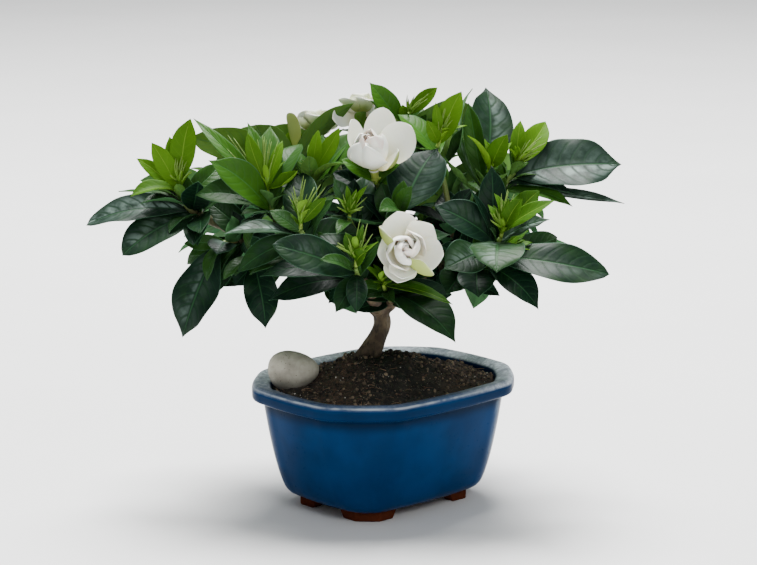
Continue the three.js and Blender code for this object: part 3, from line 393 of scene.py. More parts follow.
@dataclass(frozen=True)
class Bark:
    """Brown-grey bark with long fissures, darker at its foot and greener towards the twigs."""

    brown: str = "3f3224"
    grey: str = "66573f"
    crack: str = "1e160f"
    foot_dark: str = "2a2419"
    green: str = "55602f"

    def material(self) -> Material:
        """The bark on Object coordinates, stretched up the trunk.

        Returns:
            The material.
        """
        board = Board("bark")
        ridges = board.cloud(board.place(1, 1, 0.22), 3.2, 6, 0.65, 0.6)
        patches = board.cloud(board.place(), 14, 3)
        height = board.height()
        # foot_dark: darker towards the soil at the trunk's foot
        colour = board.coats(
            self.brown, (patches.step(0.3, 0.7), self.grey), (ridges.step(0.52, 0.36) * 0.8, self.crack),
            (height.step(162, 142) * 0.6, self.foot_dark), (height.step(225, 300) * 0.35, self.green),
        )
        normal = board.bump(ridges, 1.3, 0.9)
        return board.finish(Base_Color=colour, Roughness=0.86 - patches * 0.15, Normal=normal)


@dataclass(frozen=True)
class LeafFinish:
    """A leaf's skin: a midrib, curved side veins with the skin quilted between them, a pale edge
    and a duller, paler underside, with painted sheen between the veins, painted shade deep in the
    crown and painted light through the undersides of bright leaves."""

    name: str
    dark: str
    light: str
    rib: str
    sheen: str
    edge: str
    under: str
    # paler underside of bright leaves: partly their own colour, partly painted light through the leaf
    thin: str
    # colour of the painted shade on leaves deep in the crown
    shade: str = "050c06"
    pairs: float = 8.5
    gloss: float = 0.3
    quilting: float = 0.5
    relief: float = 0.36
    veins: float = 0.1
    midrib: float = 0.29
    level: float = 0.07
    glow: float = 0.0

    def material(self) -> Material:
        """The leaf on its painted values: across, along, under, tone and silver.

        Returns:
            The material.
        """
        board = Board(self.name)
        place = board.place()
        across, along = board.painted("across"), board.painted("along")
        tone, silver = board.painted("tone"), board.painted("silver")
        under = board.painted("under").step(0.45, 0.55)
        side, sheen_strength = abs(across), abs(silver)
        stir = board.cloud(place, 9, 2) - 0.5
        reach = (along - 0.19 * side**1.6 + stir * 0.035) * self.pairs
        between = abs(reach.part() - 0.5) * 2
        open_skin = side.step(0.02, 0.14) * side.step(1.0, 0.72) * along.step(0.02, 0.12)
        vein = between.step(0.2, 0.0) * open_skin * along.step(1.0, 0.9)
        rib = side.step(0.06, 0.015)
        soft = board.cloud(place, 14, 4)
        # painted sheen: pale patches between the veins, mostly on one half of the leaf
        lit_half = (across * silver).step(-0.02, 0.05) * 0.75 + 0.25
        gleam = sheen_strength * lit_half * between.step(0.0, 0.45) * open_skin * side.step(1.0, 0.2)
        gleam = gleam * board.cloud(place, 17, 3).step(0.34, 0.66)
        # the underside turns paler with tone: partly young leaves' own colour, partly painted light through
        # the leaf
        below = board.coats(
            self.under, (tone.most(0.0).least(1.0), self.thin),
            ((rib + vein * 0.6).least(1.0) * 0.5, self.rib),
        )
        # a negative tone gives the painted shade of leaves deep in the crown
        colour = board.coats(
            self.dark, ((tone + (soft - 0.5) * 0.4).most(0.0), self.light),
            ((tone * -1).most(0.0).least(1.0), self.shade), (gleam * 0.5 + sheen_strength * 0.03, self.sheen),
            (vein * self.veins, self.rib), (rib * self.midrib, self.rib),
            (side.step(0.955, 0.99) * 0.75, self.edge), (under, below),
        )
        fine = board.cloud(place, 0.7, 2)
        rough = self.gloss + vein * 0.1 + under * 0.3 + fine * 0.08 + soft * 0.1
        dome = between.step(0.0, 0.55) * open_skin * self.quilting
        return board.finish(
            Base_Color=colour, Roughness=rough, Specular_IOR_Level=self.level,
            Normal=board.bump(dome - rib * 0.6 + fine * 0.05, self.relief, 0.7),
            Subsurface_Weight=self.glow, Subsurface_Radius=(0.002, 0.003, 0.0005),
        )


@dataclass(frozen=True)
class StemFinish:
    """A round stem, browner at its root than at its end, with pale lines."""

    name: str
    root: str
    end: str
    line: str = "c6c39a"

    def material(self) -> Material:
        """The stem on its painted place along.

        Returns:
            The material.
        """
        board = Board(self.name)
        lines = board.cloud(board.place(), 2, 4)
        along = board.painted("along").step(0.0, 0.9)
        colour = board.coats(self.root, (along, self.end), (lines.step(0.55, 0.8) * 0.35, self.line))
        normal = board.bump(lines, 0.3, 0.5)
        return board.finish(Base_Color=colour, Roughness=0.5 + lines * 0.2, Normal=normal)


@dataclass(frozen=True)
class PetalFinish:
    """A thick waxy white petal, creamy with painted shade in its depth, with fine veins and a yellow-green
    foot.
    """

    white: str = "f3f5ea"
    cream_and_shade: str = "ddd6ae"
    green: str = "93a428"
    blush: str = "e6b8ab"
    veins: float = 42

    def material(self) -> Material:
        """The petal on its painted values; tone is how green its back is, silver how pink it is.

        Returns:
            The material.
        """
        board = Board("white_petal")
        along, side = board.painted("along"), abs(board.painted("across"))
        under = board.painted("under").step(0.3, 0.7)
        soft = board.cloud(board.place(), 9, 4)
        spread = board.painted("tone") * (1.3 - along * 0.7 - side * 0.3).most(0.0)
        # cream and painted shade towards the petal's foot
        colour = board.coats(
            self.white, (along.step(0.5, 0.05) * 0.85, self.cream_and_shade),
            (board.painted("silver") * soft.step(0.3, 0.7), self.blush),
            ((under * spread).step(0.1, 0.6) * 0.9, self.green),
        )
        streaks = board.maths("SINE", (side + (soft - 0.5) * 0.1) * self.veins) * 0.5 + 0.5
        relief = streaks * 0.16 * along.step(1.0, 0.6) + soft * 0.5
        return board.finish(
            Base_Color=colour, Roughness=0.48 + soft * 0.15, Normal=board.bump(relief, 0.5, 0.5),
            Subsurface_Weight=0.25, Subsurface_Radius=(0.004, 0.003, 0.002),
        )


# Models that are made once by hand operators and then placed many times


@dataclass
class Model:
    """A unit shape to be placed many times: its points and its faces."""

    points: Array
    faces: list[list[int]]


def put_down() -> None:
    """Leaves nothing selected."""
    bpy.ops.object.select_all(action="DESELECT")


def extrude(rises: Sequence[float]) -> None:
    """Extrudes the whole active object up, once for each rise, and turns its faces outwards.

    Args:
        rises: How far it goes each time.
    """
    bpy.ops.object.mode_set(mode="EDIT")
    bpy.ops.mesh.select_all(action="SELECT")
    for rise in rises:
        bpy.ops.mesh.extrude_region_move(TRANSFORM_OT_translate={"value": (0, 0, rise)})
    bpy.ops.mesh.select_all(action="SELECT")
    bpy.ops.mesh.normals_make_consistent(inside=False)
    bpy.ops.object.mode_set(mode="OBJECT")


def take_model() -> Model:
    """Takes the active object away as a model.

    Returns:
        Its points, turned and scaled as it stood, and its faces.
    """
    made = bpy.context.object
    points = np.array([made.matrix_world @ v.co for v in made.data.vertices])
    faces = [list(p.vertices) for p in made.data.polygons]
    bpy.data.objects.remove(made)
    return Model(points, faces)


def slab_model(columns: int, rows: int) -> Model:
    """A blade before it is shaped: -1 to 1 across, 0 to 1 along and -1 to 1 through.

    Args:
        columns: Faces across it.
        rows: Faces along it.

    Returns:
        The closed slab.
    """
    put_down()
    bpy.ops.mesh.primitive_grid_add(
        x_subdivisions=columns, y_subdivisions=rows, size=2, location=(0, 0.5, 1), scale=(1, 0.5, 1)
    )
    bpy.context.object.scale = (1, 0.5, 1)
    extrude([-2])
    bpy.context.view_layer.update()
    model = take_model()
    model.points[:, 0] = np.sin(model.points[:, 0] * math.pi / 2)
    model.points[:, 1] = np.clip(model.points[:, 1], 0, 1)
    return model


def tube_model(sides: int, rings: int) -> Model:
    """A limb before it is shaped: a round tube of radius 1 from height 0 to 1, closed at both ends.

    Args:
        sides: Faces round it.
        rings: Faces along it.

    Returns:
        The closed tube.
    """
    put_down()
    bpy.ops.mesh.primitive_circle_add(vertices=sides, radius=1, fill_type="NGON")
    extrude([1 / rings] * rings)
    return take_model()


def lay_rings(model: Model, rings: Array) -> Array:
    """Shapes a tube model by the points of its rings.

    Args:
        model: A tube with as many sides and rings.
        rings: The points of each ring, from the lowest up.

    Returns:
        The model's points, placed.
    """
    x, y, z = model.points.T
    sides = rings.shape[1]
    columns = np.round(-np.arctan2(x, y) / (2 * math.pi) * sides).astype(int) % sides
    return rings[np.round(z * (len(rings) - 1)).astype(int), columns]


class Gathering:
    """Parts gathered into one mesh, each with its finish and the values painted on it."""

    VALUES = ("across", "along", "under", "tone", "silver")

    def __init__(self) -> None:
        """Starts empty."""
        self.points: list[Array] = []
        self.faces: list[list[int]] = []
        self.finishes: list[int] = []
        self.values: dict[str, list[Array]] = {name: [] for name in self.VALUES}
        self.count = 0

    def add(self, model: Model, points: Array, finish: int = 0,
            **values: Union[float, Array]) -> None:
        """Adds a placed copy of a model.

        Args:
            model: The model whose faces it has.
            points: Where the model's points go, in millimetres.
            finish: The number of its finish.
            values: What is painted on it, for each point or the same all over.
        """
        self.points.append(points)
        self.faces.extend([[i + self.count for i in face] for face in model.faces])
        self.finishes.extend([finish] * len(model.faces))
        self.count += len(points)
        for name in self.VALUES:
            self.values[name].append(np.broadcast_to(values.get(name, 0.0), len(points)))

    def piece(self, name: str, materials: Sequence[Material]) -> Object:
        """Makes the mesh.

        Args:
            name: The piece's name.
            materials: Its finishes, in the order of their numbers.

        Returns:
            The piece, smooth all over, with its place in its mesh.
        """
        mesh = bpy.data.meshes.new(name)
        mesh.from_pydata((np.vstack(self.points) * MM).tolist(), [], self.faces)
        for material in materials:
            mesh.materials.append(material)
        mesh.polygons.foreach_set("material_index", self.finishes)
        mesh.polygons.foreach_set("use_smooth", [True] * len(mesh.polygons))
        for value, parts in self.values.items():
            layer = mesh.attributes.new(value, "FLOAT", "POINT")
            layer.data.foreach_set("value", np.concatenate(parts).astype(np.float32))
        mesh.update()
        piece = bpy.data.objects.new(name, mesh)
        bpy.context.scene.collection.objects.link(piece)
        return piece


def stand_for(piece: Object, node: str, slot: str) -> None:
    """Lets a piece stand for a node of the frame, and reports it.

    Args:
        piece: The finished piece.
        node: The node that it replaces.
        slot: The record's slot that its finish belongs to; not used.
    """
    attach(piece, "root")
    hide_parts(node)
    triangles = sum(len(p.vertices) - 2 for p in piece.data.polygons)
    LOG.info("%s stands for %s with %d triangles", piece.name, node, triangles)


def apply(piece: Object, kind: str, **settings: object) -> None:
    """Adds a modifier and applies it.

    Args:
        piece: The object.
        kind: The modifier's type.
        settings: The modifier's own settings.
    """
    put_down()
    piece.select_set(True)
    bpy.context.view_layer.objects.active = piece
    modifier = piece.modifiers.new(kind.lower(), kind)
    for key, value in settings.items():
        setattr(modifier, key, value)
    bpy.ops.object.modifier_apply(modifier=modifier.name)


# Curves, limbs and blades


def unit(vector: Array) -> Array:
    """A vector, or rows of vectors, of length one."""
    return vector / np.linalg.norm(vector, axis=-1, keepdims=True)


def spoke(axis: Array, turn: float, start: Row = (0, 0, 1)) -> Array:
    """A direction square to an axis, turned about it from the one that is square to start too."""
    side = unit(np.cross(start, axis))
    return side * math.cos(turn) + np.cross(axis, side) * math.sin(turn)


class Curve:
    """A smooth path through points, read by a share of its length."""

    STEPS = 200
    SIDE = np.array([0.31, 0.22, 0.93])

    def __init__(self, points: Sequence[Array]) -> None:
        """Lays the path.

        Args:
            points: The points that it passes, in millimetres.
        """
        known = [np.asarray(p, float) for p in points]
        if len(known) == 2:
            known.insert(1, (known[0] + known[1]) / 2)
        first = 2 * known[0] - known[1]
        last = 2 * known[-1] - known[-2]
        self.known = [first, *known, last]
        self.times = np.linspace(0, 1, self.STEPS + 1)
        line = np.array([self.at_time(t) for t in self.times])
        self.lengths = np.concatenate([[0], np.cumsum(np.linalg.norm(np.diff(line, axis=0), axis=1))])

    def at_time(self, time: float) -> Array:
        """The point at a share of the number of spans.

        Args:
            time: The share.

        Returns:
            The point, on a curve with even speed through the known points.
        """
        spans = len(self.known) - 3
        span = min(int(time * spans), spans - 1)
        w = time * spans - span
        p0, p1, p2, p3 = self.known[span : span + 4]
        d0, d1, d2 = (max(np.linalg.norm(b - a), 1e-4) ** 0.5 for a, b in ((p0, p1), (p1, p2), (p2, p3)))
        t1 = ((p1 - p0) / d0 - (p2 - p0) / (d0 + d1) + (p2 - p1) / d1) * d1
        t2 = ((p2 - p1) / d1 - (p3 - p1) / (d1 + d2) + (p3 - p2) / d2) * d1
        c2 = -3 * p1 + 3 * p2 - 2 * t1 - t2
        c3 = 2 * p1 - 2 * p2 + t1 + t2
        return p1 + t1 * w + c2 * w * w + c3 * w**3

    def at(self, share: float) -> Array:
        """The point at a share of the length."""
        return self.at_time(float(np.interp(share * self.lengths[-1], self.lengths, self.times)))

    def heading(self, share: float) -> Array:
        """The direction of the path there."""
        return unit(self.at(min(share + 1e-3, 1)) - self.at(max(share - 1e-3, 0)))

    def beyond(self, end: Array, radius: float) -> "Curve":
        """A straight path from beyond the end of this one.

        Args:
            end: Where it ends.
            radius: The radius that stays clear of this path's end.

        Returns:
            The new path.
        """
        start = self.at(1)
        ahead = unit(end - start)
        tilt = math.sqrt(max(1 - np.dot(ahead, self.heading(1)) ** 2, 0))
        return Curve([start + ahead * (GAP + radius * tilt), end])

    def tube(self, model: Model, radius: Radius) -> Array:
        """Lays a tube model along the path.

        Args:
            model: The unit tube.
            radius: Gives the radius for shares of the length and turns about it.

        Returns:
            The model's points, placed.
        """
        heights = np.round(model.points[:, 2], 5)
        turns = np.arctan2(model.points[:, 1], model.points[:, 0])
        size = radius(heights, turns) * np.hypot(model.points[:, 0], model.points[:, 1])
        placed = np.zeros_like(model.points)
        side = self.SIDE
        for height in np.unique(heights):
            ahead = self.heading(height)
            side = unit(side - ahead * np.dot(side, ahead))
            here = heights == height
            over = np.cross(ahead, side)
            ring = np.outer(np.cos(turns[here]), side) + np.outer(np.sin(turns[here]), over)
            placed[here] = self.at(height) + ring * size[here, None]
        return placed


def taper(thick: float, slim: float) -> Radius:
    """A radius that goes evenly from thick to slim."""
    return lambda share, turn: thick + (slim - thick) * share


class Outline(Enum):
    """The outline of a blade: how wide it is at each share of its length."""

    LEAF = "leaf"
    OVAL = "oval"
    SMALL = "small"
    PETAL = "petal"

    def width(self, along: Array) -> Array:
        """The width there, as a share of the widest.

        Args:
            along: Shares of the length.

        Returns:
            The widths.
        """
        if self is Outline.PETAL:
            swell = 0.3 + 0.7 * np.sin(np.minimum(along / 0.6, 1) * math.pi / 2)
            close = np.clip((along - 0.55) / 0.45, 0, 1)
            return swell * np.sqrt(np.maximum(1 - close**2.9, 0))
        power, swell, drip = {
            Outline.LEAF: (1.1, 0.78, 0.7),
            Outline.OVAL: (1.12, 0.66, 0.05),
            Outline.SMALL: (1.06, 0.72, 0.4),
        }[self]
        lens = np.maximum(np.sin(math.pi * np.clip(along, 0, 1) ** power), 0) ** swell
        drip = 1 - drip * np.clip((along - 0.8) / 0.2, 0, 1) ** 1.4
        stalk = 0.06 * np.clip(1 - along, 0, 1)
        return np.maximum(lens * drip, stalk)


@dataclass
class Blade:
    """A leaf or petal: a thin arched blade, folded up along its midrib, with waving edges."""

    base: Array
    tip: Array
    face: Array
    width: float
    arch: float = 0.1
    fold: float = 0.3
    wave: float = 0.0
    waves: float = 2.0
    roll: float = 0.0
    cup: float = 0.0
    thick: float = 0.7
    outline: Outline = Outline.LEAF
    seed: float = 0.0
    sway: float = 0.0

    def place(self, model: Model) -> Array:
        """Shapes and places a slab model.

        Args:
            model: The unit slab.

        Returns:
            Its points as this blade.
        """
        s, t, surface = model.points.T
        if self.outline is Outline.PETAL:
            t = 1 - (1 - t) ** 1.7
        along = self.tip - self.base
        length = np.linalg.norm(along)
        along = along / length
        side = unit(np.cross(along, self.face))
        up = np.cross(side, along)
        hump = 4 * t * (1 - t)
        spine = self.base + np.outer(length * t, along) + np.outer(length * self.arch * hump, up)
        spine = spine + np.outer(length * self.sway * np.sin(math.pi * t) * t, side)
        normal = unit(up + np.outer(-4 * (1 - 2 * t) * self.arch, along))
        spread = side * math.cos(self.roll) + normal * math.sin(self.roll)
        normal = normal * math.cos(self.roll) - side * math.sin(self.roll)
        share = self.outline.width(t)
        half = self.width * share / 2
        bend = np.sqrt(s * s + 0.01) - 0.1
        ripple = self.wave * self.width * np.sin(2 * math.pi * self.waves * t + np.where(s > 0, 1.3, 0))
        lively = 0.036 * self.width * np.sin(9 * t + self.seed + 2 * np.sign(s)) * s * s
        rise = half * (bend * math.sin(self.fold) + s * s * self.cup) + (ripple + lively) * s * s * share
        skin = surface * (self.thick * (1 - s * s) / 2 + 0.14)
        return spine + spread * (half * s * math.cos(self.fold))[:, None] + normal * (rise + skin)[:, None]


# The crown's own frame and its plan


@dataclass(frozen=True)
class Crown:
    """Turns a place as it shows from the trained front, as across, up and near, into a point."""

    middle: Array
    turn: float = -43.0
    tilt: float = 11.8
    eye: float = 2500.0
    heart_across: float = -5.5
    heart_height: float = 224.0

    def frame(self) -> tuple[Array, Array, Array]:
        """The directions across, up and near.

        Returns:
            The three directions, each of length one.
        """
        turn, tilt = math.radians(self.turn), math.radians(self.tilt)
        across = np.array([math.cos(turn), math.sin(turn), 0])
        near = np.array([math.sin(turn) * math.cos(tilt), -math.cos(turn) * math.cos(tilt), math.sin(tilt)])
        return across, np.cross(near, across), near

    def heart(self) -> Array:
        """The point that the front looks at."""
        across, _, _ = self.frame()
        return self.middle + across * self.heart_across + np.array([0, 0, self.heart_height])

    def point(self, row: Row) -> Array:
        """A place as a point.

        Args:
            row: How far across, up and near.

        Returns:
            The point, in millimetres.
        """
        across, up, near = self.frame()
        shrink = 1 - row[2] / self.eye
        return self.heart() + across * row[0] * shrink + up * row[1] * shrink + near * row[2]

    def direction(self, row: Row) -> Array:
        """A direction given the same way."""
        return unit(np.array(self.frame()).T @ np.asarray(row, float))


TO_FRONT = (0, 0.15, 1)
TO_SKY = (0, 1, 0.25)
SLANTED = (0, 0.7, 0.7)
TO_LEFT = (-0.7, 0.4, 0.6)
TO_RIGHT = (0.7, 0.4, 0.6)


@dataclass(frozen=True)
class Leaf:
    """One leaf: where on its stem it sits, its tip, width and face, and what else shapes it."""

    share: float
    tip: Row
    width: float
    face: Row = TO_FRONT
    arch: float = 0.1
    fold: float = 0.3
    wave: float = 0.0
    waves: float = 2.0
    rule: bool = False
    tone: float = -1.0
    oval: bool = False
    silver: float = 0.0


@dataclass(frozen=True)
class Petal:
    """One petal of a bloom whose petals are placed one by one."""

    tip: Row
    width: float
    face: Row
    arch: float = -0.1
    cup: float = 0.4
    green: float = 0.0
    blush: float = 0.0
    foot: Optional[Row] = None


@dataclass(frozen=True)
class BloomPlan:
    """Where a bloom looks, and its petals or its size."""

    faces: Row
    petals: Sequence[Petal] = ()
    bud: Pair = (0.0, 0.0)
    size: float = 0.0
    turn: float = 0.0


@dataclass(frozen=True)
class StemPlan:
    """A leafy stem: the bough that it grows off, its path, its leaves, whorls and bloom."""

    off: tuple[str, float]
    stem: Sequence[Row]
    leaves: Sequence[Leaf] = ()
    whorls: int = 0
    bloom: Optional[BloomPlan] = None


@dataclass(frozen=True)
class ShootPlan:
    """A young shoot on the end of the leafy stem of its name."""

    to: Row
    leaves: Sequence[Leaf] = ()
    spikes: Sequence[Row] = ()
    whorls: int = 0


TRUNK_PATH = [(-9, -112, -40), (-7, -84, -34), (-6, -70, -31), (0, -55, -27), (4, -42, -24), (2, -28, -21)]
ROOT_PATH = [(0, -50, -26), (-9, -62, -28), (-19, -74, -26), (-27, -88, -24)]
BOUGHS = {
    "left": [(2, -30, -21), (-22, -12, -10), (-70, 12, 2), (-118, 36, 10), (-152, 55, 16), (-180, 68, 22)],
    "centre": [(2, -30, -21), (3, 0, -16), (0, 45, -8), (8, 92, -6)],
    "right": [(2, -30, -21), (26, -8, -10), (66, 16, 8), (98, 52, 2), (112, 82, -4)],
    "front": [(2, -30, -21), (-6, -16, 10), (-14, -4, 40), (-14, 2, 60)],
    "back": [(2, -30, -21), (-4, -6, -44), (-8, 24, -72)],
}

